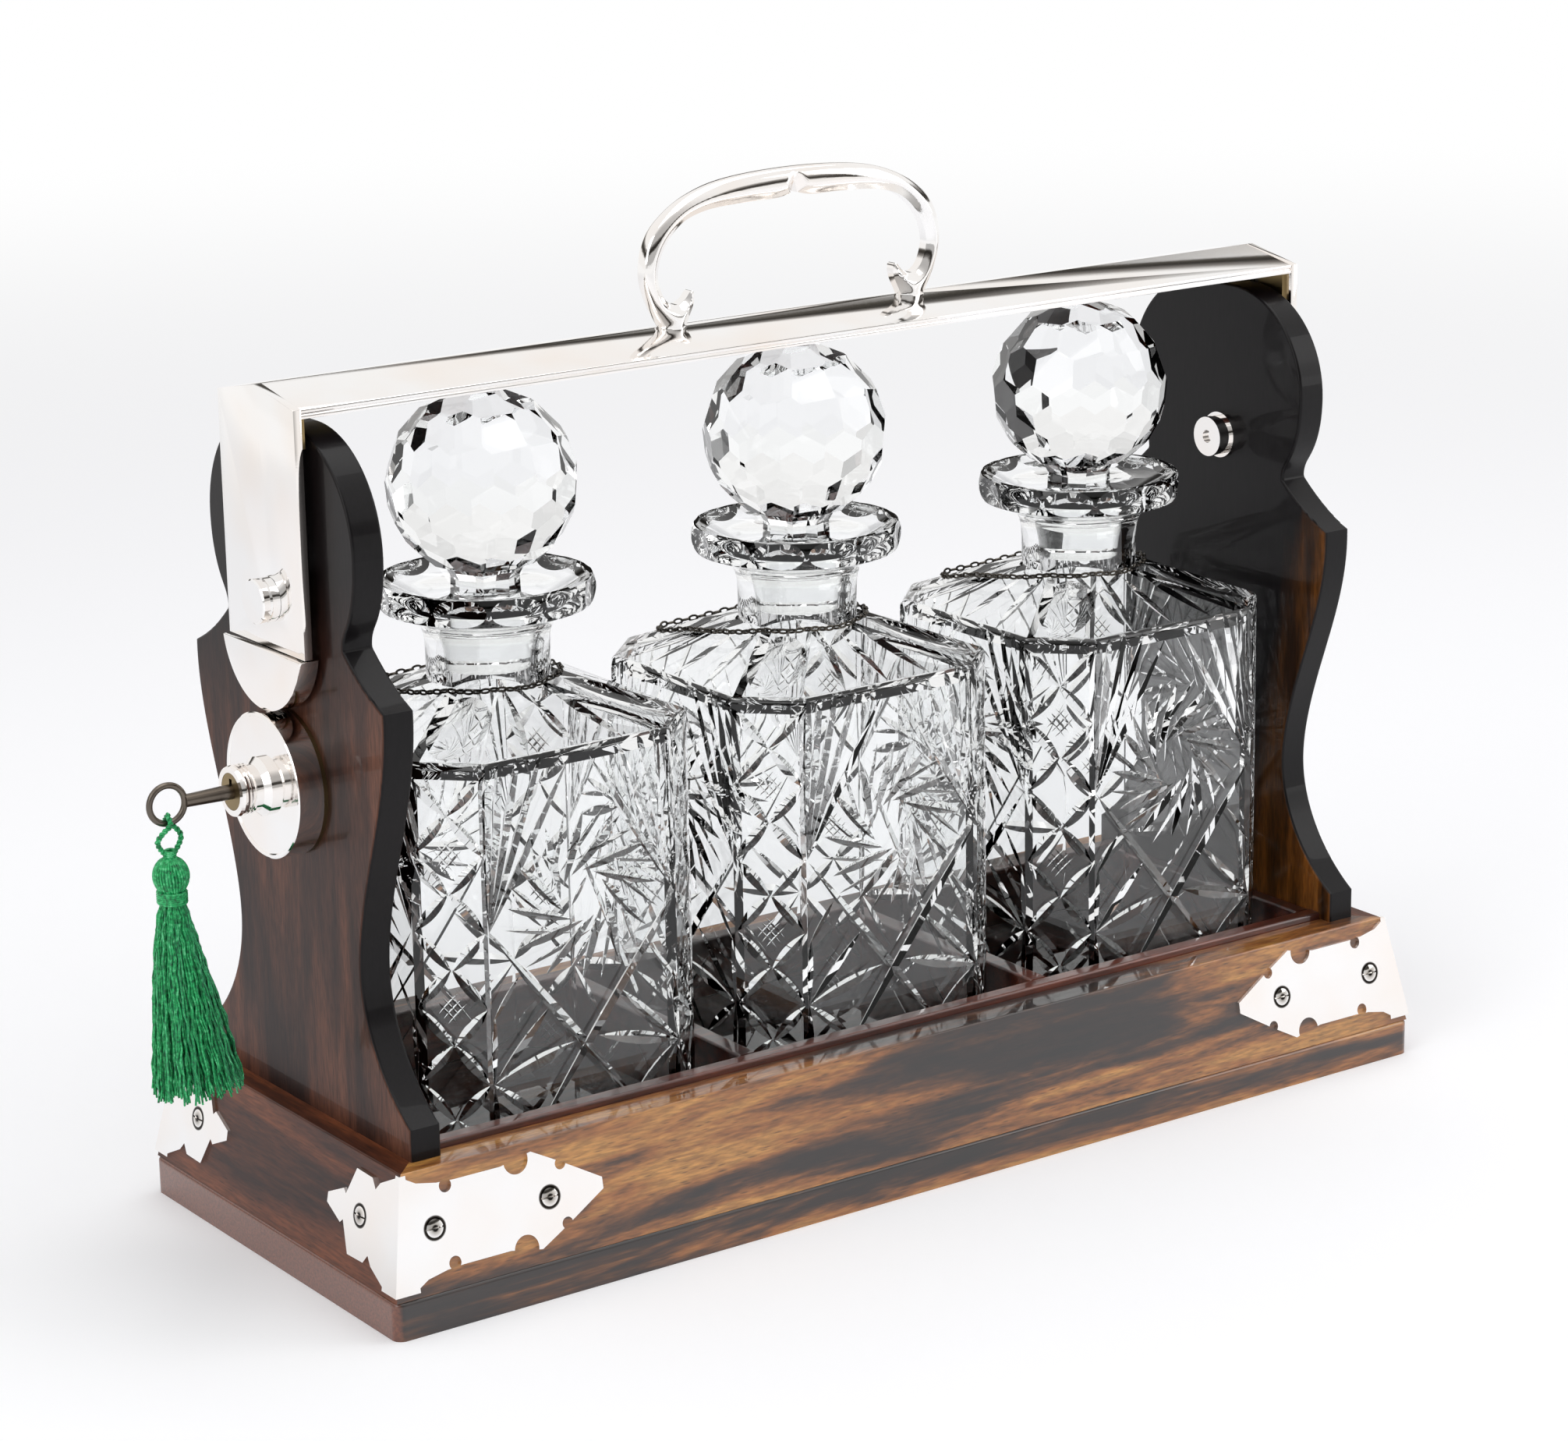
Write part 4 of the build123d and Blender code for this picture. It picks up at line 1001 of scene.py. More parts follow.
def dress_node(piece: bpy.types.Object, material: bpy.types.Material) -> None:
    """Give a CAD node a finish and leave its shape alone."""
    slots = piece.material_slots
    if not slots:
        piece.data.materials.append(material)
    for each in piece.material_slots:
        each.material = material


# ------------------------------------------------------------------ metalwork


@dataclass
class Metalwork:
    """Bar, arms, hasp, pivots, lock, corner mounts, screws and key."""

    nodes: dict[str, bpy.types.Object]
    silver: bpy.types.Material = field(init=False)
    dull: bpy.types.Material = field(init=False)
    steel: bpy.types.Material = field(init=False)

    def __post_init__(self) -> None:
        """Make the finishes."""
        self.silver = PolishedMetal(
            "silver_plate",
            "f8f7f6",
            "f7f0ea",
            roughness=0.025,
            rubbing=0.035,
            # the mounts' screw heads get painted shade in their recess and round their rim
            shaded_screws=self.screw_places(),
        ).material()
        self.dull = PolishedMetal("dulled_brass", "7d6c4d", "94805a", roughness=0.3).material()
        self.steel = PolishedMetal("worn_steel", "5d5853", "756c62", roughness=0.28).material()

    @staticmethod
    def screw_places() -> tuple[tuple[float, float, float], ...]:
        """Middles of the three screw heads of a corner mount, as distances from the planes of symmetry."""
        slope, foot, height, skin = math.radians(10.5), 0.011, 0.0288, 0.0009
        inset = (height - foot) * math.tan(slope) - skin / math.cos(slope)
        half_length, half_depth = 0.1844, 0.0692
        return (
            (half_length - 0.014, half_depth - inset, height),
            (half_length - 0.0506, half_depth - inset, height),
            (half_length - inset, half_depth - 0.0226, height),
        )

    def dress(self) -> None:
        """Finish every metal node, with the edges of the plated pieces softened."""
        soft = {
            "bar_cover": ("top_bar", 0.25),
            "left_arm": ("top_bar", 0.3),
            "right_arm": ("top_bar", 0.3),
            "lock_hasp": ("top_bar", 0.35),
        }
        for name, (body, width) in soft.items():
            piece = softened_copy(self.nodes, name, f"{name}_plate", width)
            seat(piece, body, self.silver, [name])
        for name in (
            "corner_mount_front_left",
            "corner_mount_front_right",
            "corner_mount_back_left",
            "corner_mount_back_right",
            "mount_screws",
            "left_pivot_pin",
            "right_pivot_pin",
            "left_pivot_bush",
            "right_pivot_bush",
            "pivot_nuts",
            "lock_case",
            "lock_nozzle",
        ):
            dress_node(self.nodes[name], self.silver)
        for name in ("left_bracket", "right_bracket", "pivot_spacers", "lock_plate", "lock_plug"):
            dress_node(self.nodes[name], self.dull)
        for name in (
            "base_screws",
            "bracket_screws",
            "handle_screws",
            "hasp_screws",
            "lock_screws",
            "lock_bolt",
            "key",
        ):
            dress_node(self.nodes[name], self.steel)


def through(points: Sequence[Sequence[float]], steps: int = 8) -> list[Vector]:
    """Run a smooth curve through points, from the first to the last.

    Args:
        points: The points, of any one size.
        steps: Stretches between each two of them.

    Returns:
        Points of the curve.
    """
    given = [Vector(p) for p in points]
    given = [2 * given[0] - given[1], *given, 2 * given[-1] - given[-2]]
    made = []
    for before, start, end, after in zip(given, given[1:], given[2:], given[3:]):
        for step in range(steps):
            t = step / steps
            made.append(
                0.5
                * (
                    2 * start
                    + (end - before) * t
                    + (2 * before - 5 * start + 4 * end - after) * t * t
                    + (3 * start - before - 3 * end + after) * t * t * t
                )
            )
    return [*made, given[-2]]


def even_steps(line: Sequence[Vector], step: float) -> list[Vector]:
    """Space a line's points evenly.

    Args:
        line: The line.
        step: About how far apart the points lie.

    Returns:
        The new points, with both ends kept.
    """
    runs = [0.0]
    for one, two in zip(line, line[1:]):
        runs.append(runs[-1] + (two - one).length)
    count = max(1, round(runs[-1] / step))
    made, at = [], 0
    for rank in range(count):
        wanted = runs[-1] * rank / count
        while runs[at + 1] < wanted:
            at += 1
        share = (wanted - runs[at]) / (runs[at + 1] - runs[at])
        made.append(line[at].lerp(line[at + 1], share))
    return [*made, line[-1]]


@dataclass
class CarryingHandle:
    """Ridged bail with a cusp in the middle and a hooked thumb at each foot, in millimetres.

    The outlines are half ones: reach from the middle, and rise over the bar's ridge.
    """

    silver: bpy.types.Material
    ridge: float = 250.4
    half_depth: float = 3.95
    edge_depth: float = 1.0
    outer: tuple[tuple[float, float], ...] = (
        (46.6, 0.0),
        (50.4, 7.1),
        (52.5, 15.1),
        (50.9, 24.1),
        (45.6, 30.8),
        (36.0, 36.6),
        (22.0, 40.2),
        (0.0, 41.4),
    )
    inner: tuple[tuple[float, float], ...] = (
        (1.2, 33.8),
        (6.5, 32.8),
        (17.0, 32.7),
        (30.0, 31.9),
        (38.8, 29.0),
        (45.0, 22.8),
        (47.6, 15.1),
        (45.6, 8.4),
        (42.0, 6.0),
        (38.6, 7.2),
        (36.6, 9.3),
        (35.4, 8.8),
        (35.7, 5.4),
        (38.2, 0.0),
    )
    cusp: tuple[float, float] = (0.0, 37.6)
    foot_drop: float = 0.9
    step: float = 0.5
    outer_round: float = 6.0
    cove_edge: float = 1.5
    cove_rise: float = 0.85
    ridge_round: float = 0.7
    edge_rings: tuple[float, ...] = (0.12, 0.35, 0.7, 1.1)

    def outline(self) -> tuple[list[Vector], list[Vector], list[Vector]]:
        """Outer edge, inner edge and feet of the whole handle.

        Returns:
            The outer line from the right foot to the left, the inner line back, and the closed
            outline through both feet.
        """
        rising = through([*self.outer[:-1], self.outer[-1], (-22.0, 40.2)])[: -8]
        rising = even_steps(rising, self.step)
        falling = [Vector((-p.x, p.y)) for p in reversed(rising[:-1])]
        outer = rising + falling
        right = [Vector(self.cusp), *through(self.inner)]
        right = even_steps(right, self.step)
        inner = [Vector((-p.x, p.y)) for p in reversed(right[1:])] + right
        drop = Vector((0, -self.foot_drop))
        feet = [outer[-1] + drop, inner[0] + drop, inner[-1] + drop, outer[0] + drop]
        return outer, inner, [*outer, feet[0], feet[1], *inner, feet[2], feet[3]]

    def depth_at(self, from_outer: float, from_inner: float) -> float:
        """Half depth of the bar: rounded off towards the outside, coved towards the inside."""
        share = min(from_outer / self.outer_round, 1.0)
        swell = math.sqrt(1 - (1 - share) ** 2)
        outside = self.edge_depth + (self.half_depth - self.edge_depth) * swell
        inside = self.cove_edge + self.cove_rise * from_inner
        # the two faces meet in a softened ridge
        blend = max(0.0, 1 - abs(outside - inside) / self.ridge_round)
        return min(outside, inside, self.half_depth) - blend * blend * self.ridge_round / 4

    def filling(self, lines: Sequence[Sequence[Vector]], edges: Sequence[KDTree]) -> list[Vector]:
        """Points inside the outline: rows along its edges, and a lattice between them."""
        spots = []
        for line in lines:
            for one, two in zip(line, line[1:]):
                run = (two - one).normalized()
                inward = Vector((-run.y, run.x))
                for ring in self.edge_rings:
                    spot = (one + two) / 2 + inward * ring
                    if self.nearest(spot, edges) > 0.93 * ring:
                        spots.append(spot)
        rows, columns = round(44 / self.step), round(108 / self.step)
        for row in range(rows):
            for column in range(columns):
                across = (column + 0.5 * (row % 2)) * self.step - 54
                spot = Vector((across, row * self.step - self.foot_drop))
                if self.edge_rings[-1] + 0.3 < self.nearest(spot, edges) < 9:
                    spots.append(spot)
        return spots

    @staticmethod
    def nearest(spot: Vector, edges: Sequence[KDTree]) -> float:
        """Distance from a point to the nearest edge."""
        return min(tree.find((spot.x, spot.y, 0))[2] for tree in edges)

    def build(self) -> None:
        """Fill the outline with points, raise both faces and close the edge between them."""
        outer, inner, rim = self.outline()
        edges = []
        for line in (outer, inner):
            dense = even_steps(line, self.step / 4)
            tree = KDTree(len(dense))
            for at, point in enumerate(dense):
                tree.insert((point.x, point.y, 0), at)
            tree.balance()
            edges.append(tree)
        points = [*rim, *self.filling((outer, inner), edges)]
        ring = [(at, (at + 1) % len(rim)) for at in range(len(rim))]
        flat, _, faces, *_ = delaunay_2d_cdt(points, ring, [], 1, 1e-5)
        count = len(flat)
        front, back = [], []
        for point in flat:
            reach = [tree.find((point.x, point.y, 0))[2] for tree in edges]
            depth = self.depth_at(*reach)
            height = self.ridge + point.y
            front.append(Vector((point.x, -depth, height)) * MM)
            back.append(Vector((point.x, depth, height)) * MM)
        sides = {}
        for face in faces:
            for one, two in zip(face, [*face[1:], face[0]]):
                sides[(one, two)] = sides.get((one, two), 0) + 1
        walls = [
            (one, two, two + count, one + count)
            for one, two in sides
            if (two, one) not in sides
        ]
        turned = [tuple(at + count for at in reversed(face)) for face in faces]
        mesh = mesh_from("handle", front + back, [*faces, *turned, *walls])
        piece = mesh_object("handle_plate", mesh)
        smooth_by_angle(piece, 40)
        seat(piece, "top_bar", self.silver, ["handle"])


# ------------------------------------------------------------------ cut glass


@dataclass(frozen=True)
class Cut:
    """One wheel cut: where its middle lies on the glass, and its reach in millimetres.

    reach holds the half length, the half width and the depth.
    """

    middle: Vector
    along: Vector
    outward: Vector
    reach: tuple[float, float, float]


def cut_between(
    start: Vector,
    end: Vector,
    outward: Vector,
    width: float,
    depth: float,
) -> Cut:
    """Lay a cut whose tips are at two points of the surface.

    Args:
        start: One tip, in millimetres.
        end: The other tip.
        outward: The surface's normal.
        width: The cut's width at its middle.
        depth: Its depth there.

    Returns:
        The cut.
    """
    along = (end - start).normalized()
    return Cut((start + end) / 2, along, outward, ((end - start).length / 2, width / 2, depth))


@dataclass(frozen=True)
class Wall:
    """A flat wall of a bottle, with u across it and v the height over the stand's underside."""

    outward: Vector
    distance: float

    @property
    def across(self) -> Vector:
        """Direction of u, to the right for someone who faces the wall."""
        return Vector((0, 0, 1)).cross(self.outward)

    def at(self, u: float, v: float) -> Vector:
        """Point of the wall."""
        return self.outward * self.distance + self.across * u + Vector((0, 0, v))

    def cut(
        self,
        start: tuple[float, float],
        end: tuple[float, float],
        width: float,
        depth: float,
    ) -> Cut:
        """Lay a cut between two points of the wall."""
        return cut_between(self.at(*start), self.at(*end), self.outward, width, depth)


@dataclass
class Pinwheel:
    """Whirling star in the middle of each broad wall."""

    middle: tuple[float, float] = (0.0, 105.0)
    blades: int = 12
    eye: float = 7.2
    tip: float = 24.5
    sweep: float = 62.0

    def cuts(self, wall: Wall) -> list[Cut]:
        """Blades that leave the plain eye at a slant, with a finer one between each pair."""
        made = []
        for blade in range(self.blades):
            turn = 360 / self.blades * blade
            for offset, inner, outer, width, depth in (
                (0.0, self.eye, self.tip, 3.0, 1.25),
                (360 / self.blades * 0.45, self.eye + 3.5, self.tip + 1.5, 1.5, 0.6),
            ):
                begin = math.radians(turn + offset)
                finish = math.radians(turn + offset - self.sweep)
                made.append(
                    wall.cut(
                        (
                            self.middle[0] + inner * math.cos(begin),
                            self.middle[1] + inner * math.sin(begin),
                        ),
                        (
                            self.middle[0] + outer * math.cos(finish),
                            self.middle[1] + outer * math.sin(finish),
                        ),
                        width,
                        depth,
                    )
                )
        return made


@dataclass
class BroadWall:
    """Everything cut on one of the four broad walls."""

    half_width: float = 30.6
    fan_foot: float = 100.0
    fan_tips: tuple[tuple[float, float], ...] = (
        (-29.4, 158.0),
        (-24.2, 158.0),
        (-17.6, 157.0),
        (-10.2, 153.0),
        (-3.2, 145.0),
    )
    base_node: float = 56.0
    base_leaves: tuple[tuple[float, float, float], ...] = (
        (-29.6, 76.0, 2.0),
        (-11.8, 75.0, 2.6),
        (-4.0, 63.0, 4.0),
        (-15.5, 43.0, 3.0),
        (-29.6, 36.0, 2.0),
    )
    star: Pinwheel = field(default_factory=Pinwheel)

    def cuts(self, wall: Wall) -> list[Cut]:
        """Star, fans, long crossing mitres and the leaves round the base."""
        made = self.star.cuts(wall)
        for side in (-1, 1):
            node_u = side * self.half_width
            for rank, (u, v) in enumerate(self.fan_tips):
                width = 3.4 - 0.25 * rank
                made.append(
                    wall.cut((node_u, self.fan_foot), (-side * u, v), width, 1.15)
                )
            made.append(wall.cut((node_u, self.fan_foot), (-side * 17.5, 39.0), 3.0, 1.3))
            made.append(wall.cut((node_u, self.fan_foot - 26), (side * 21.5, 86.0), 1.6, 0.7))
            for u, v, width in self.base_leaves:
                made.append(wall.cut((node_u, self.base_node), (-side * u, v), width, 1.2))
            made.append(wall.cut((node_u, 33.0), (0.0, 23.0), 2.4, 1.0))
            made.append(wall.cut((side * 21.0, 24.0), (0.0, 44.0), 2.4, 1.0))
        return made


@dataclass
class CornerFlat:
    """Column of diamonds on one of the four corner flats."""

    half_width: float = 9.9
    pitch: float = 22.0
    top_node: float = 133.0
    diamonds: int = 5
    hatched: tuple[int, ...] = (0, 2, 4)

    def cuts(self, wall: Wall) -> list[Cut]:
        """Leaf-shaped sides of each diamond, and fine hatching in alternate ones."""
        made = []
        for side in (-1, 1):
            made.append(
                wall.cut(
                    (0.0, self.top_node),
                    (side * self.half_width * 1.1, self.top_node + self.pitch * 0.55),
                    3.4,
                    1.3,
                )
            )
        for rank in range(self.diamonds):
            top = self.top_node - rank * self.pitch
            for side in (-1, 1):
                edge = (side * self.half_width, top - self.pitch / 2)
                made.append(wall.cut((0.0, top + 0.5), edge, 3.4, 1.35))
                made.append(wall.cut(edge, (0.0, top - self.pitch - 0.5), 3.4, 1.35))
            if rank in self.hatched:
                made.extend(self.hatching(wall, top - self.pitch / 2))
        return made

    def hatching(self, wall: Wall, middle: float) -> list[Cut]:
        """Three fine lines each way inside one diamond."""
        made = []
        slope = Vector((self.half_width, self.pitch / 2)).normalized()
        for side in (-1, 1):
            run = Vector((side * slope.x, slope.y))
            step = Vector((-side * slope.x, slope.y))
            for offset in (-1.9, 0.0, 1.9):
                centre = Vector((0.0, middle)) + step * offset
                start, end = centre - run * 4.1, centre + run * 4.1
                made.append(wall.cut(tuple(start), tuple(end), 0.75, 0.3))
        return made


@dataclass
class Shoulder:
    """Scooped leaves on the sloping shoulder and flutes under the lip, in millimetres."""

    slope_foot: tuple[float, float] = (54.4, 147.5)
    slope_head: tuple[float, float] = (18.4, 159.0)
    wall_foot: tuple[float, float] = (46.0, 147.5)
    scoop: tuple[float, float, float] = (16.5, 8.6, 1.9)
    lip_middle: tuple[float, float] = (31.0, 183.2)
    lip_flute: tuple[float, float, float] = (8.6, 12.0, 1.5)
    lip_flutes: int = 12

    def sloping(
        self,
        turn: float,
        foot: tuple[float, float],
        head: tuple[float, float],
    ) -> tuple[Vector, Vector, Vector]:
        """Foot, head and normal of a sloping line.

        Args:
            turn: Its direction round the bottle, in degrees.
            foot: Radius and height of its outer end.
            head: Radius and height of its inner end.

        Returns:
            The two ends and the normal that points up and out.
        """
        spoke = Vector((math.cos(math.radians(turn)), math.sin(math.radians(turn)), 0))
        low = spoke * foot[0] + Vector((0, 0, foot[1]))
        high = spoke * head[0] + Vector((0, 0, head[1]))
        ring = Vector((0, 0, 1)).cross(spoke)
        normal = ring.cross(low - high).normalized()
        return low, high, normal if normal.dot(spoke + Vector((0, 0, 2))) > 0 else -normal

    def scoops(self) -> list[Cut]:
        """One broad scoop over each corner, and hollow flutes round the lip."""
        made = []
        for turn in (45, 135, 225, 315):
            low, high, normal = self.sloping(turn, self.slope_foot, self.slope_head)
            made.append(Cut((low + high) / 2, (low - high).normalized(), normal, self.scoop))
        radius, height = self.lip_middle
        for flute in range(self.lip_flutes):
            turn = math.radians(360 / self.lip_flutes * (flute + 0.5))
            spoke = Vector((math.cos(turn), math.sin(turn), 0))
            middle = spoke * radius + Vector((0, 0, height))
            made.append(Cut(middle, Vector((0, 0, 1)), spoke, self.lip_flute))
        return made

    def leaves(self) -> list[Cut]:
        """Narrow leaves between the scoops."""
        made = []
        for turn in (0, 90, 180, 270):
            for spread in (-19, 0, 19):
                low, high, normal = self.sloping(turn + spread, self.wall_foot, self.slope_head)
                made.append(cut_between(low, high, normal, 4.2 if spread == 0 else 3.0, 0.8))
        return made


def mitre_wheel(steps: int = 8, above: float = 0.22) -> bpy.types.Mesh:
    """Shape that a V-edged wheel takes out: half length, half width and depth are all 1.

    Args:
        steps: Stations along it.
        above: How far it stands over the surface.

    Returns:
        The closed cutter.
    """
    reach = math.sqrt(1 + above * 0.85)
    points, faces = [], []
    for at in range(steps + 1):
        x = reach * (2 * at / steps - 1)
        depth = 1 - x * x
        half = depth + above
        points += [(x, 0, -depth), (x, half, above), (x, -half, above)]
    for at in range(steps):
        a, b = 3 * at, 3 * at + 3
        for one, two in ((0, 1), (1, 2), (2, 0)):
            faces.append((a + one, a + two, b + two, b + one))
    faces.append((0, 2, 1))
    last = 3 * steps
    faces.append((last, last + 1, last + 2))
    return mesh_from("mitre_wheel", points, faces)


def bowl_wheel(rings: int = 7, spokes: int = 32) -> bpy.types.Mesh:
    """Shape that a round-edged wheel takes out, on the same measures as the mitre wheel.

    Args:
        rings: Rings from the middle to the rim.
        spokes: Points on each ring.

    Returns:
        The closed cutter.
    """
    points, faces = [(0, 0, -1)], []
    for ring in range(1, rings + 1):
        radius = 1.12 * ring / rings
        for spoke in range(spokes):
            turn = 2 * math.pi * spoke / spokes
            x, y = radius * math.cos(turn), radius * math.sin(turn)
            points.append((x, y, radius * radius - 1))
    for spoke in range(spokes):
        after = (spoke + 1) % spokes
        faces.append((0, 1 + spoke, 1 + after))
        for ring in range(rings - 1):
            low, high = 1 + ring * spokes, 1 + (ring + 1) * spokes
            faces.append((low + spoke, high + spoke, high + after, low + after))
    rim = 1 + (rings - 1) * spokes
    faces.append(tuple(rim + spoke for spoke in reversed(range(spokes))))
    return mesh_from("bowl_wheel", points, faces)


def cut_points(name: str, cuts: Sequence[Cut]) -> bpy.types.Object:
    """Helper object with one vertex for each cut and its direction and reach as attributes.

    Args:
        name: The helper's name.
        cuts: The cuts.

    Returns:
        The helper.
    """
    mesh = bpy.data.meshes.new(name)
    mesh.from_pydata([tuple(cut.middle * MM) for cut in cuts], [], [])
    columns = {
        "along": [c for cut in cuts for c in cut.along],
        "outward": [c for cut in cuts for c in cut.outward],
        "reach": [c * MM for cut in cuts for c in cut.reach],
    }
    for column, values in columns.items():
        mesh.attributes.new(column, "FLOAT_VECTOR", "POINT").data.foreach_set("vector", values)
    return mesh_object(name, mesh)


def named_vector(tree: bpy.types.NodeTree, name: str) -> bpy.types.NodeSocket:
    """Read a vector attribute inside a Geometry Nodes tree."""
    found = node(tree, "GeometryNodeInputNamedAttribute", {"Name": name}, data_type="FLOAT_VECTOR")
    return found.outputs["Attribute"]


def new_geometry_tree(
    name: str,
    inputs: dict[str, str],
) -> tuple[bpy.types.NodeTree, bpy.types.Node, dict[str, str]]:
    """Start a Geometry Nodes tree with named inputs.

    Args:
        name: The tree's name.
        inputs: Input names and their socket types.

    Returns:
        The tree, its input node and each input's socket identifier.
    """
    tree = bpy.data.node_groups.new(name, "GeometryNodeTree")
    tree.interface.new_socket("Geometry", in_out="INPUT", socket_type="NodeSocketGeometry")
    keys = {
        label: tree.interface.new_socket(label, in_out="INPUT", socket_type=kind).identifier
        for label, kind in inputs.items()
    }
    tree.interface.new_socket("Geometry", in_out="OUTPUT", socket_type="NodeSocketGeometry")
    return tree, tree.nodes.new("NodeGroupInput"), keys


def grown(
    piece: bpy.types.Object,
    tree: bpy.types.NodeTree,
    keys: dict[str, str],
    values: dict[str, object],
) -> bpy.types.Object:
    """Run a tree on a piece and keep the result as a plain mesh.

    Args:
        piece: The piece.
        tree: The Geometry Nodes tree.
        keys: The identifiers of its inputs.
        values: A value for each input.

    Returns:
        The same piece.
    """
    modifier = piece.modifiers.new(tree.name, "NODES")
    modifier.node_group = tree
    for label, value in values.items():
        modifier[keys[label]] = value
    return applied(piece)


def cutting_tree() -> tuple[bpy.types.NodeTree, dict[str, str]]:
    """Tree that takes an instanced wheel out of a glass blank at every cut.

    Returns:
        The tree and the identifiers of its inputs.
    """
    tree, given, keys = new_geometry_tree(
        "wheel_cutting",
        {
            "Cuts": "NodeSocketObject",
            "Wheel": "NodeSocketObject",
            "Glass": "NodeSocketMaterial",
        },
    )
    places = node(tree, "GeometryNodeObjectInfo", {"Object": given.outputs["Cuts"]})
    wheel = node(tree, "GeometryNodeObjectInfo", {"Object": given.outputs["Wheel"]})
    turn = node(
        tree,
        "FunctionNodeAxesToRotation",
        {
            "Primary Axis": named_vector(tree, "outward"),
            "Secondary Axis": named_vector(tree, "along"),
        },
        primary_axis="Z",
        secondary_axis="X",
    )
    wheels = node(
        tree,
        "GeometryNodeInstanceOnPoints",
        {
            "Points": places.outputs["Geometry"],
            "Instance": wheel.outputs["Geometry"],
            "Rotation": turn.outputs[0],
            "Scale": named_vector(tree, "reach"),
        },
    )
    cut = node(
        tree,
        "GeometryNodeMeshBoolean",
        {"Mesh 1": given.outputs["Geometry"], "Mesh 2": wheels.outputs[0]},
        operation="DIFFERENCE",
        solver="MANIFOLD",
    )
    plain = node(tree, "GeometryNodeRealizeInstances", {"Geometry": cut.outputs["Mesh"]})
    dressed = node(
        tree,
        "GeometryNodeSetMaterial",
        {"Geometry": plain.outputs[0], "Material": given.outputs["Glass"]},
    )
    node(tree, "NodeGroupOutput", {"Geometry": dressed.outputs[0]})
    return tree, keys


@dataclass
class Decanters:
    """Three square decanters, cut alike, each over its own CAD blank."""

    nodes: dict[str, bpy.types.Object]
    crystal: bpy.types.Material
    wall_distance: float = 46.0
    flat_distance: float = 54.447
    broad: BroadWall = field(default_factory=BroadWall)
    flat: CornerFlat = field(default_factory=CornerFlat)
    shoulder: Shoulder = field(default_factory=Shoulder)

    def v_cuts(self) -> list[Cut]:
        """Every mitre cut of one decanter."""
        made = []
        for turn in (0, 90, 180, 270):
            spoke = Vector((math.cos(math.radians(turn)), math.sin(math.radians(turn)), 0))
            made += self.broad.cuts(Wall(spoke, self.wall_distance))
            slant = math.radians(turn + 45)
            corner = Vector((math.cos(slant), math.sin(slant), 0))
            made += self.flat.cuts(Wall(corner, self.flat_distance))
        return made + self.shoulder.leaves()

    def build(self) -> None:
        """Cut one blank, and give each bottle a copy."""
        blank = self.nodes["middle_decanter"].data.copy()
        shell = bmesh.new()
        shell.from_mesh(blank)
        bmesh.ops.remove_doubles(shell, verts=shell.verts, dist=2e-6)
        bmesh.ops.dissolve_limit(
            shell,
            angle_limit=math.radians(0.3),
            verts=shell.verts,
            edges=shell.edges,
        )
        for height, width in ((147.5, 1.8), (142.2, 3.0)):
            ring = [
                edge
                for edge in shell.edges
                if all(abs(v.co.z / MM - height) < 0.2 for v in edge.verts)
                and edge.calc_face_angle(0.0) > math.radians(40)
            ]
            bmesh.ops.bevel(
                shell,
                geom=ring,
                offset=width * MM,
                offset_type="OFFSET",
                segments=9,
                profile=0.5,
                affect="EDGES",
            )
        shell.to_mesh(blank)
        shell.free()
        piece = mesh_object("cut_decanter", blank)
        tree, keys = cutting_tree()
        for wheel_mesh, cuts in (
            (bowl_wheel(), self.shoulder.scoops()),
            (mitre_wheel(), self.v_cuts()),
        ):
            wheel = mesh_object("wheel", wheel_mesh)
            places = cut_points("cut_places", cuts)
            grown(
                piece,
                tree,
                keys,
                {"Cuts": places, "Wheel": wheel, "Glass": self.crystal},
            )
            for helper in (wheel, places):
                bpy.data.objects.remove(helper)
        smooth_by_angle(piece, 12)
        for bottle, x in BOTTLES.items():
            mesh = piece.data.copy()
            mesh.transform(Matrix.Translation((x, 0, 0)))
            made = mesh_object(f"{bottle}_cut_decanter", mesh)
            seat(made, f"{bottle}_bottle", self.crystal, [f"{bottle}_decanter"])
        bpy.data.objects.remove(piece)


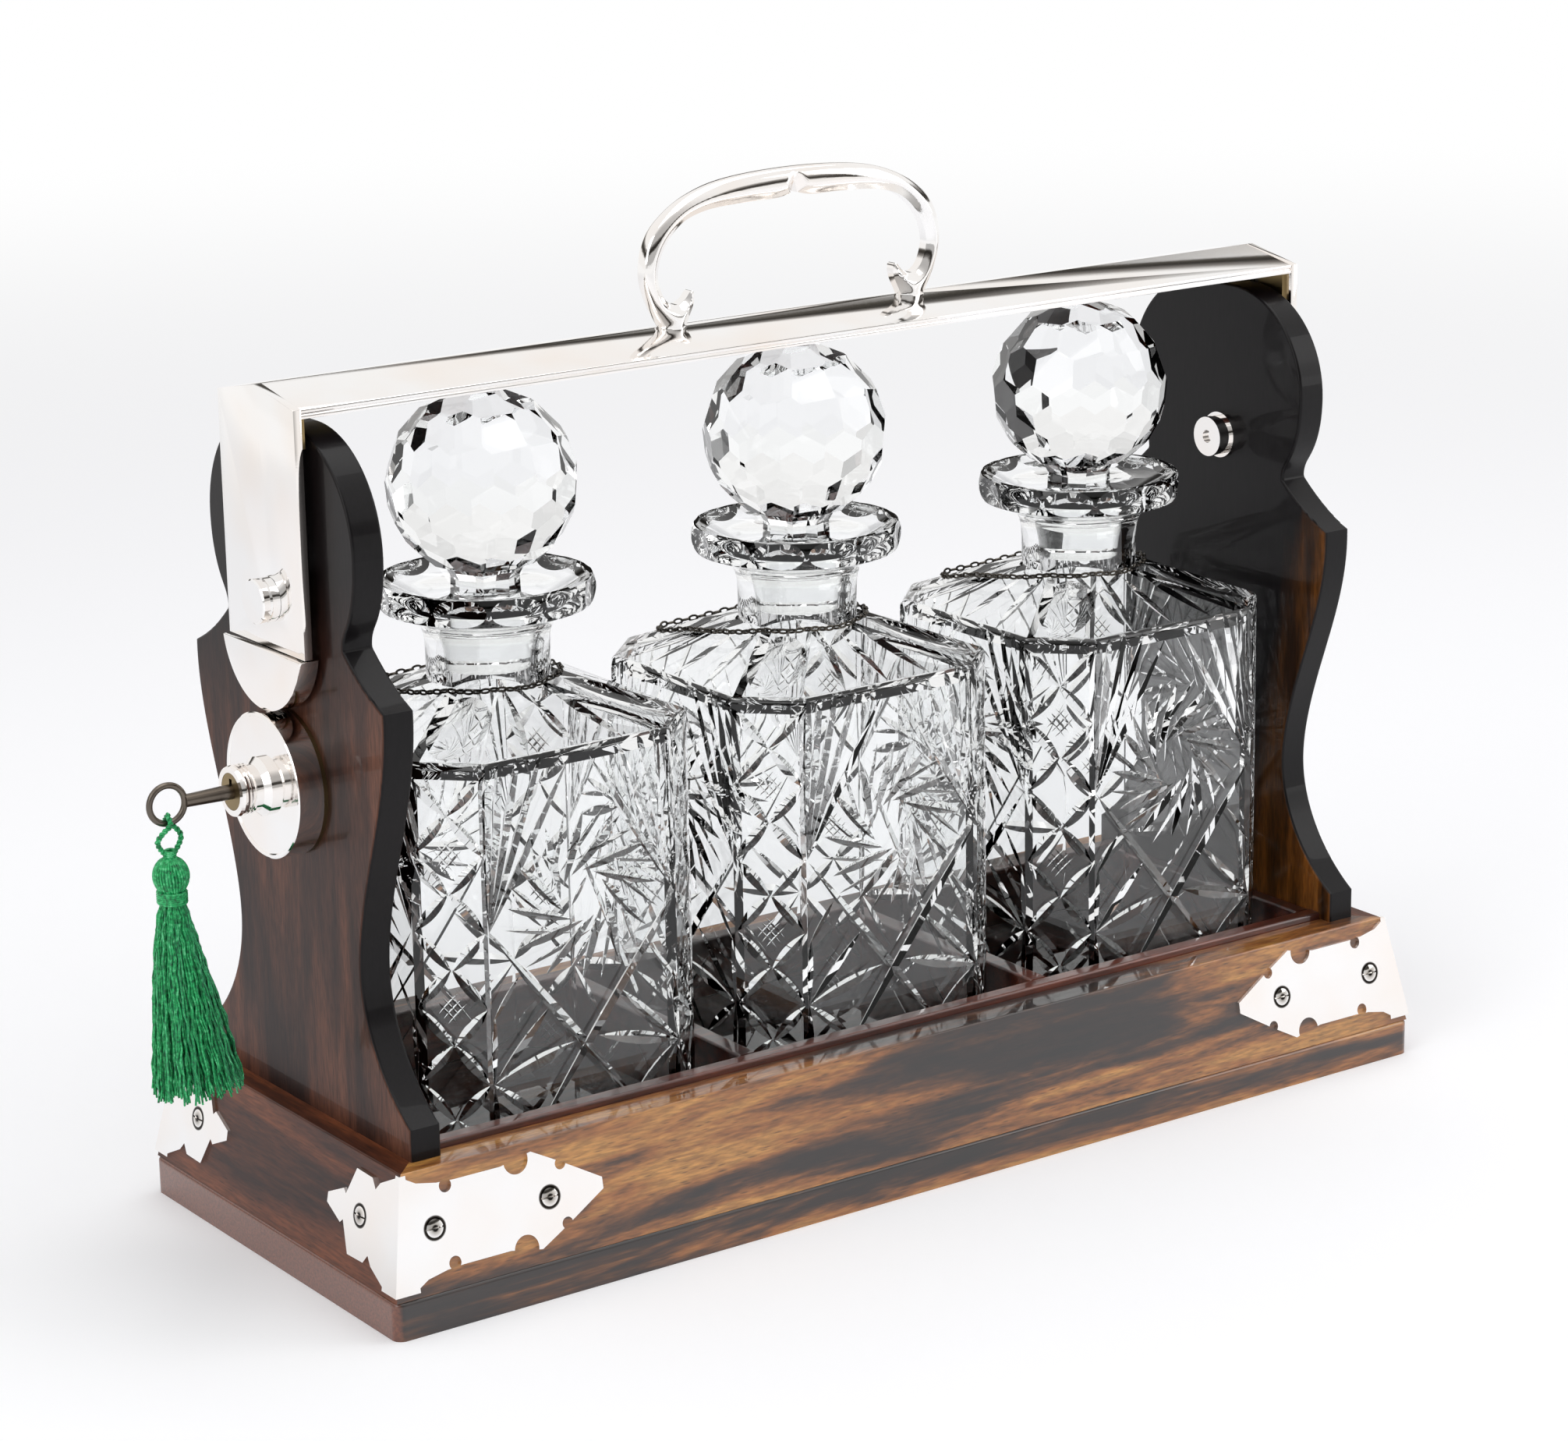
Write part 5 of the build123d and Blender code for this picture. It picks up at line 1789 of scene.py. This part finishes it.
@dataclass
class BallStoppers:
    """Faceted ball stoppers on a collared, tapered plug."""

    crystal: bpy.types.Material
    centre: float = 214.0
    ball_radius: float = 27.0
    facet_depth: float = 0.85
    foot_drop: float = 22.2
    rows: tuple[tuple[float, int, float], ...] = (
        (90.0, 1, 0.0),
        (66.0, 6, 0.0),
        (42.0, 11, 0.5),
        (18.0, 13, 0.0),
        (-6.0, 13, 0.5),
        (-28.0, 13, 0.0),
        (-47.0, 11, 0.5),
    )
    plug: tuple[tuple[float, float], ...] = (
        (11.6, 162.0),
        (12.1, 162.6),
        (13.45, 179.3),
        (13.0, 179.9),
        (11.2, 180.9),
        (9.9, 182.4),
        (9.7, 187.6),
        (11.4, 190.6),
        (12.4, 191.9),
        (9.0, 194.0),
    )

    def ball(self) -> bpy.types.Mesh:
        """Facet a ball with flats laid in staggered rows.

        Returns:
            The closed mesh, in metres.
        """
        spread = bmesh.new()
        inner = self.ball_radius - self.facet_depth
        for rise, count, stagger in self.rows:
            high = math.radians(rise)
            for at in range(count):
                turn = 2 * math.pi * (at + stagger) / count
                spread.verts.new(
                    Vector(
                        (
                            math.cos(high) * math.cos(turn),
                            math.cos(high) * math.sin(turn),
                            math.sin(high),
                        )
                    )
                    / inner
                )
        spread.verts.new((0, 0, -1 / self.foot_drop))
        bmesh.ops.convex_hull(spread, input=spread.verts)
        # each triangle of the dual hull is one corner of the faceted ball
        corners = []
        for face in spread.faces:
            normal = face.normal
            reach = normal.dot(face.verts[0].co)
            corner = normal / reach
            limit = self.ball_radius * 1.0
            if corner.length > limit:
                corner *= limit / corner.length
            corners.append((corner + Vector((0, 0, self.centre))) * MM)
        spread.free()
        solid = bmesh.new()
        for corner in corners:
            solid.verts.new(corner)
        bmesh.ops.remove_doubles(solid, verts=solid.verts, dist=1e-6)
        result = bmesh.ops.convex_hull(solid, input=solid.verts)
        loose = [v for v in result["geom_interior"] if isinstance(v, bmesh.types.BMVert)]
        bmesh.ops.delete(solid, geom=loose, context="VERTS")
        bmesh.ops.dissolve_limit(
            solid,
            angle_limit=math.radians(1.5),
            verts=solid.verts,
            edges=solid.edges,
        )
        bmesh.ops.recalc_face_normals(solid, faces=solid.faces)
        mesh = bpy.data.meshes.new("ball")
        solid.to_mesh(mesh)
        solid.free()
        return mesh

    def stem(self, sides: int = 48) -> bpy.types.Mesh:
        """Turn the plug, and cut the stem above the mouth to ten flats.

        Args:
            sides: Points round the turned plug, a multiple of ten short of one.

        Returns:
            The closed mesh, in metres.
        """
        flats = 8
        sides = sides // flats * flats
        points, faces = [], []
        for radius, height in self.plug:
            for at in range(sides):
                turn = 2 * math.pi * at / sides
                flat = 1.0
                if 180.5 < height < 190.7:
                    within = (at % (sides // flats)) / (sides // flats) - 0.5
                    flat = math.cos(math.pi / flats) / math.cos(2 * math.pi / flats * within)
                reach = radius * flat
                points.append(
                    (
                        reach * math.cos(turn) * MM,
                        reach * math.sin(turn) * MM,
                        height * MM,
                    )
                )
        for ring in range(len(self.plug) - 1):
            low, high = ring * sides, (ring + 1) * sides
            for at in range(sides):
                after = (at + 1) % sides
                faces.append((low + at, low + after, high + after, high + at))
        faces.append(tuple(reversed(range(sides))))
        faces.append(tuple((len(self.plug) - 1) * sides + at for at in range(sides)))
        return mesh_from("stem", points, faces)

    def build(self) -> None:
        """Join ball and stem once, and give each bottle a copy turned its own way."""
        piece = mesh_object("cut_stopper", self.ball())
        stem = mesh_object("stem", self.stem())
        joined = piece.modifiers.new("join", "BOOLEAN")
        joined.operation = "UNION"
        joined.solver = "MANIFOLD"
        joined.object = stem
        applied(piece)
        bpy.data.objects.remove(stem)
        smooth_by_angle(piece, 9)
        for (bottle, x), turn in zip(BOTTLES.items(), (11.0, 4.0, 19.0)):
            mesh = piece.data.copy()
            mesh.transform(Matrix.Rotation(math.radians(turn), 4, "Z"))
            mesh.transform(Matrix.Translation((x, 0, 0)))
            made = mesh_object(f"{bottle}_cut_stopper", mesh)
            seat(made, f"{bottle}_ball_stopper", self.crystal, [f"{bottle}_stopper"])
        bpy.data.objects.remove(piece)


# ------------------------------------------------------------------ silk and chains


def thread_tree() -> tuple[bpy.types.NodeTree, dict[str, str]]:
    """Tree that turns polylines into threads of a few sides.

    Returns:
        The tree and the identifiers of its inputs.
    """
    tree, given, keys = new_geometry_tree(
        "silk_threads",
        {
            "Radius": "NodeSocketFloat",
            "Sides": "NodeSocketInt",
            "Silk": "NodeSocketMaterial",
        },
    )
    path = node(tree, "GeometryNodeMeshToCurve", {"Mesh": given.outputs["Geometry"]})
    ring = node(
        tree,
        "GeometryNodeCurvePrimitiveCircle",
        {"Resolution": given.outputs["Sides"], "Radius": given.outputs["Radius"]},
        mode="RADIUS",
    )
    tube = node(
        tree,
        "GeometryNodeCurveToMesh",
        {"Curve": path.outputs[0], "Profile Curve": ring.outputs["Curve"], "Fill Caps": True},
    )
    round_off = node(
        tree,
        "GeometryNodeSetShadeSmooth",
        {"Geometry": tube.outputs[0], "Shade Smooth": True},
    )
    plain = node(tree, "GeometryNodeRealizeInstances", {"Geometry": round_off.outputs[0]})
    dressed = node(
        tree,
        "GeometryNodeSetMaterial",
        {"Geometry": plain.outputs[0], "Material": given.outputs["Silk"]},
    )
    node(tree, "NodeGroupOutput", {"Geometry": dressed.outputs[0]})
    return tree, keys


def line_mesh(name: str, lines: Sequence[Sequence[Vector]], closed: bool = False) -> bpy.types.Mesh:
    """Mesh of bare edges along polylines.

    Args:
        name: The mesh's name.
        lines: The polylines, in millimetres.
        closed: Whether each line runs back to its start.

    Returns:
        The mesh, in metres.
    """
    points, edges = [], []
    for line in lines:
        start = len(points)
        points += [tuple(point * MM) for point in line]
        edges += [(start + at, start + at + 1) for at in range(len(line) - 1)]
        if closed:
            edges.append((start + len(line) - 1, start))
    mesh = bpy.data.meshes.new(name)
    mesh.from_pydata(points, edges, [])
    return mesh


@dataclass
class Tassel:
    """Silk tassel that hangs from the key, in millimetres."""

    silk: bpy.types.Material
    axis_x: float = -209.44
    loop: tuple[tuple[float, float, float], ...] = (
        (0.0, 0.0, 136.6),
        (-0.3, -1.95, 134.2),
        (-2.6, -1.6, 132.0),
        (-3.9, -0.9, 129.6),
        (-2.4, -0.3, 126.8),
        (0.0, 0.0, 124.8),
        (2.6, 0.3, 127.0),
        (4.1, 0.9, 129.8),
        (2.8, 1.6, 132.2),
        (0.3, 1.95, 134.2),
        (0.0, 0.0, 136.6),
    )
    head_top: float = 124.6
    head_height: float = 119.4
    head_radius: float = 4.72
    neck_top: float = 115.8
    neck_foot: float = 111.4
    neck_radius: float = 3.6
    foot: float = 55.0
    foot_half_width: float = 14.4
    foot_half_depth: float = 11.2
    foot_shift: float = 4.6
    fan_from: float = -5.0
    fan_share: float = 0.6
    strands: int = 380
    seed: int = 11

    def at(self, x: float, y: float, z: float) -> Vector:
        """Point measured from the tassel's axis."""
        return Vector((self.axis_x + x, y, z))

    def two_ply(self, core: Sequence[Vector], lay: float, offset: float) -> list[list[Vector]]:
        """Twist two threads round a line.

        Args:
            core: The line's points.
            lay: Length of one full twist.
            offset: Distance of each thread from the line.

        Returns:
            The two threads.
        """
        threads: list[list[Vector]] = [[], []]
        run = 0.0
        for at, point in enumerate(core):
            before, after = core[max(at - 1, 0)], core[min(at + 1, len(core) - 1)]
            if at:
                run += (point - core[at - 1]).length
            forward = (after - before).normalized()
            side = forward.orthogonal().normalized()
            if abs(forward.y) < 0.9:
                side = forward.cross(Vector((0, 1, 0))).normalized()
            other = forward.cross(side)
            for ply in (0, 1):
                turn = 2 * math.pi * run / lay + math.pi * ply
                threads[ply].append(
                    point + side * offset * math.cos(turn) + other * offset * math.sin(turn)
                )
        return threads

    def cord(self) -> list[list[Vector]]:
        """Twisted cord: a slack loop through the key's bow, tied off in a knot over the head."""
        loop = [self.at(*point) for point in through(self.loop, steps=9)]
        stalk = [self.at(0, 0, 125.6 - step * 0.3) for step in range(9)]
        knot = []
        for step in range(73):
            turn = 2 * math.pi * step / 18
            rise = 1.2 - 2.4 * step / 72
            reach = 0.8 + 0.7 * math.sqrt(max(0.0, 1 - (rise / 1.3) ** 2))
            knot.append(self.at(reach * math.cos(turn), reach * math.sin(turn), 125.4 + rise))
        return self.two_ply(loop, 2.6, 0.4) + self.two_ply(stalk, 2.1, 0.32) + [knot]

    def head(self) -> list[list[Vector]]:
        """Threads that run over the round head into the bound neck, and the binding."""
        made = []
        span = self.head_top - self.neck_foot
        for strand in range(34):
            turn = 2 * math.pi * strand / 34
            line = []
            for step in range(13):
                share = step / 12
                height = self.head_top - 0.2 - share * span * 0.86
                if height > self.neck_top - 0.4:
                    bow = (height - self.head_height) / (self.head_top - self.head_height + 0.1)
                    reach = self.head_radius * math.sqrt(max(0.02, 1 - bow * bow))
                    reach = max(reach, self.neck_radius) if bow < 0 else reach
                else:
                    reach = self.neck_radius - 0.5
                slant = turn + 0.25 * share
                line.append(self.at(reach * math.cos(slant), reach * math.sin(slant), height))
            made.append(line)
        binding = []
        turns = 6
        for step in range(turns * 16 + 1):
            turn = 2 * math.pi * step / 16
            share = step / (turns * 16)
            binding.append(
                self.at(
                    (self.neck_radius + 0.35) * math.cos(turn),
                    (self.neck_radius + 0.35) * math.sin(turn),
                    self.neck_top - 0.5 - share * (self.neck_top - self.neck_foot - 1.0),
                )
            )
        return made + [binding]

    def skirt(self) -> list[list[Vector]]:
        """Loose strands, each with its own wave, a little uneven at the foot."""
        draw = random.Random(self.seed)
        made = []
        for _ in range(self.strands):
            turn = draw.uniform(0, 2 * math.pi)
            depth = math.sqrt(draw.uniform(0.12, 1.0))
            long = draw.uniform(0.93, 1.0)
            wave = draw.uniform(0, 2 * math.pi)
            sway = draw.uniform(0.4, 1.3)
            line = []
            steps = 15
            for step in range(steps + 1):
                share = step / steps
                spread = share ** 0.85
                wide = self.neck_radius - 0.4 + (self.foot_half_width - self.neck_radius) * spread
                deep = self.neck_radius - 0.4 + (self.foot_half_depth - self.neck_radius) * spread
                shift = self.foot_shift * share**1.3
                curl = sway * share * math.sin(wave + 9 * share)
                kink = 0.25 * math.sin(3 * wave + 40 * share)
                across = depth * wide * math.cos(turn) + shift + curl + kink
                # the outer side hangs straighter than the side that fans out to the stand
                across = max(across, self.fan_from + self.fan_share * (across - self.fan_from))
                line.append(
                    self.at(
                        across,
                        depth * deep * math.sin(turn) + 0.8 * curl - kink,
                        self.neck_foot + 0.6 - share * long * (self.neck_foot - self.foot),
                    )
                )
            made.append(line)
        return made

    def build(self) -> None:
        """Lay the threads and dress them."""
        tree, keys = thread_tree()
        for name, lines, radius, sides, stands_for in (
            ("silk_cord", self.cord(), 0.45, 6, "tassel_loop"),
            ("silk_head", self.head(), 0.42, 5, "tassel_head"),
            ("silk_skirt", self.skirt(), 0.36, 3, "tassel_skirt"),
        ):
            piece = mesh_object(name, line_mesh(name, lines))
            values = {"Radius": radius * MM, "Sides": sides, "Silk": self.silk}
            grown(piece, tree, keys, values)
            seat(piece, "tassel", self.silk, [stands_for])


def link_mesh(
    length: float,
    width: float,
    wire: float,
    around: int = 12,
    across: int = 5,
) -> bpy.types.Mesh:
    """Oval chain link, in millimetres, long along X and flat in XY.

    Args:
        length: Outer length.
        width: Outer width.
        wire: Wire radius.
        around: Points round the link.
        across: Points round the wire.

    Returns:
        The closed mesh, in metres.
    """
    points, faces = [], []
    for at in range(around):
        turn = 2 * math.pi * at / around
        out = Vector((math.cos(turn), math.sin(turn), 0))
        middle = Vector((out.x * (length / 2 - wire), out.y * (width / 2 - wire), 0))
        for ring in range(across):
            lean = 2 * math.pi * ring / across
            offset = out * math.cos(lean) * wire + Vector((0, 0, math.sin(lean) * wire))
            points.append((middle + offset) * MM)
    for at in range(around):
        for ring in range(across):
            next_at, next_ring = (at + 1) % around, (ring + 1) % across
            faces.append(
                (
                    at * across + ring,
                    next_at * across + ring,
                    next_at * across + next_ring,
                    at * across + next_ring,
                )
            )
    return mesh_from("link", points, faces)


def chain_tree() -> tuple[bpy.types.NodeTree, dict[str, str]]:
    """Tree that threads links along a closed line, every second one on edge.

    Returns:
        The tree and the identifiers of its inputs.
    """
    tree, given, keys = new_geometry_tree(
        "neck_chain",
        {
            "Link": "NodeSocketObject",
            "Links": "NodeSocketInt",
            "Metal": "NodeSocketMaterial",
        },
    )
    path = node(tree, "GeometryNodeMeshToCurve", {"Mesh": given.outputs["Geometry"]})
    places = node(
        tree,
        "GeometryNodeCurveToPoints",
        {"Curve": path.outputs[0], "Count": given.outputs["Links"]},
        mode="COUNT",
    )
    link = node(tree, "GeometryNodeObjectInfo", {"Object": given.outputs["Link"]})
    rank = node(tree, "GeometryNodeInputIndex").outputs[0]
    odd = node(tree, "ShaderNodeMath", {0: rank, 1: 2.0}, operation="MODULO").outputs[0]
    # flat links lean a little and edge links stand up, as they do on a slack chain
    lean = node(tree, "ShaderNodeMath", {0: odd, 1: math.pi / 2, 2: 0.35}, operation="MULTIPLY_ADD")
    run = node(
        tree,
        "FunctionNodeAxesToRotation",
        {"Primary Axis": places.outputs["Tangent"], "Secondary Axis": (0.0, 0.0, 1.0)},
        primary_axis="X",
        secondary_axis="Z",
    )
    roll = node(
        tree,
        "FunctionNodeAxisAngleToRotation",
        {"Axis": (1.0, 0.0, 0.0), "Angle": lean.outputs[0]},
    )
    turned = node(
        tree,
        "FunctionNodeRotateRotation",
        {"Rotation": run.outputs[0], "Rotate By": roll.outputs[0]},
        rotation_space="LOCAL",
    )
    links = node(
        tree,
        "GeometryNodeInstanceOnPoints",
        {
            "Points": places.outputs["Points"],
            "Instance": link.outputs["Geometry"],
            "Rotation": turned.outputs[0],
        },
    )
    plain = node(tree, "GeometryNodeRealizeInstances", {"Geometry": links.outputs[0]})
    dressed = node(
        tree,
        "GeometryNodeSetMaterial",
        {"Geometry": plain.outputs[0], "Material": given.outputs["Metal"]},
    )
    node(tree, "NodeGroupOutput", {"Geometry": dressed.outputs[0]})
    return tree, keys


@dataclass
class NeckChains:
    """Slack chains that lie round the necks and back over the shoulders, in millimetres."""

    metal: bpy.types.Material
    path: tuple[tuple[float, float], ...] = (
        (-5.0, -19.6),
        (5.0, -19.4),
        (13.6, -14.8),
        (19.4, -7.0),
        (20.0, 2.0),
        (16.0, 11.0),
        (7.0, 19.5),
        (-5.0, 28.0),
        (-16.0, 34.5),
        (-24.5, 36.0),
        (-28.5, 30.5),
        (-28.5, 20.0),
        (-26.0, 7.0),
        (-21.5, -6.5),
        (-14.4, -15.6),
    )
    link: tuple[float, float, float] = (3.3, 2.1, 0.36)
    pitch: float = 2.35
    shoulder: tuple[float, float] = (147.5, 159.0)

    def resting(self, x: float, y: float) -> Vector:
        """Lay a point of the path on the sloping shoulder.

        Args:
            x: Its place along the stand, from the bottle's middle.
            y: Its place across the stand.

        Returns:
            The point, half a link above the glass.
        """
        low, high = self.shoulder
        climb = min(
            (46.0 - abs(x)) / 28.4,
            (46.0 - abs(y)) / 28.4,
            (54.4 - (abs(x) + abs(y)) / math.sqrt(2)) / 36.0,
            1.0,
        )
        return Vector((x, y, low + (high - low) * climb + self.link[1] / 2))

    def smooth_path(self, steps: int = 6) -> list[Vector]:
        """Round the path off with a spline through its points."""
        points = [Vector(p) for p in self.path]
        made = []
        for at in range(len(points)):
            before, start = points[at - 1], points[at]
            end, after = points[(at + 1) % len(points)], points[(at + 2) % len(points)]
            for step in range(steps):
                t = step / steps
                spot = 0.5 * (
                    2 * start
                    + (end - before) * t
                    + (2 * before - 5 * start + 4 * end - after) * t * t
                    + (3 * start - before - 3 * end + after) * t * t * t
                )
                made.append(self.resting(spot.x, spot.y))
        return made

    def build(self) -> None:
        """Thread one chain and give each bottle a copy."""
        line = self.smooth_path()
        length = sum((line[at] - line[at - 1]).length for at in range(len(line)))
        count = 2 * round(length / self.pitch / 2)
        tree, keys = chain_tree()
        link = mesh_object("link", link_mesh(*self.link))
        piece = mesh_object("chain", line_mesh("chain", [line], closed=True))
        grown(piece, tree, keys, {"Link": link, "Links": count, "Metal": self.metal})
        bpy.data.objects.remove(link)
        smooth_by_angle(piece, 60)
        for bottle, x in BOTTLES.items():
            mesh = piece.data.copy()
            mesh.transform(Matrix.Translation((x, 0, 0)))
            made = mesh_object(f"{bottle}_linked_chain", mesh)
            seat(made, f"{bottle}_bottle", self.metal, [f"{bottle}_neck_chain"])
        bpy.data.objects.remove(piece)


# ------------------------------------------------------------------ main


def main() -> None:
    """Build the whole object around its frame."""
    logging.basicConfig(level=logging.INFO, format="%(name)s %(message)s")
    random.seed(7)
    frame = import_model()
    nodes = frame["nodes"]
    Studio().build()
    WoodenStand(nodes).dress()
    metalwork = Metalwork(nodes)
    metalwork.dress()
    CarryingHandle(metalwork.silver).build()
    crystal = CutCrystal().material()
    silk = TasselSilk().material()
    Decanters(nodes, crystal).build()
    BallStoppers(crystal).build()
    Tassel(silk).build()
    oxidised = PolishedMetal("oxidised_chain", "3a3733", "57524b", roughness=0.25).material()
    NeckChains(oxidised).build()


if __name__ == "__main__":
    main()
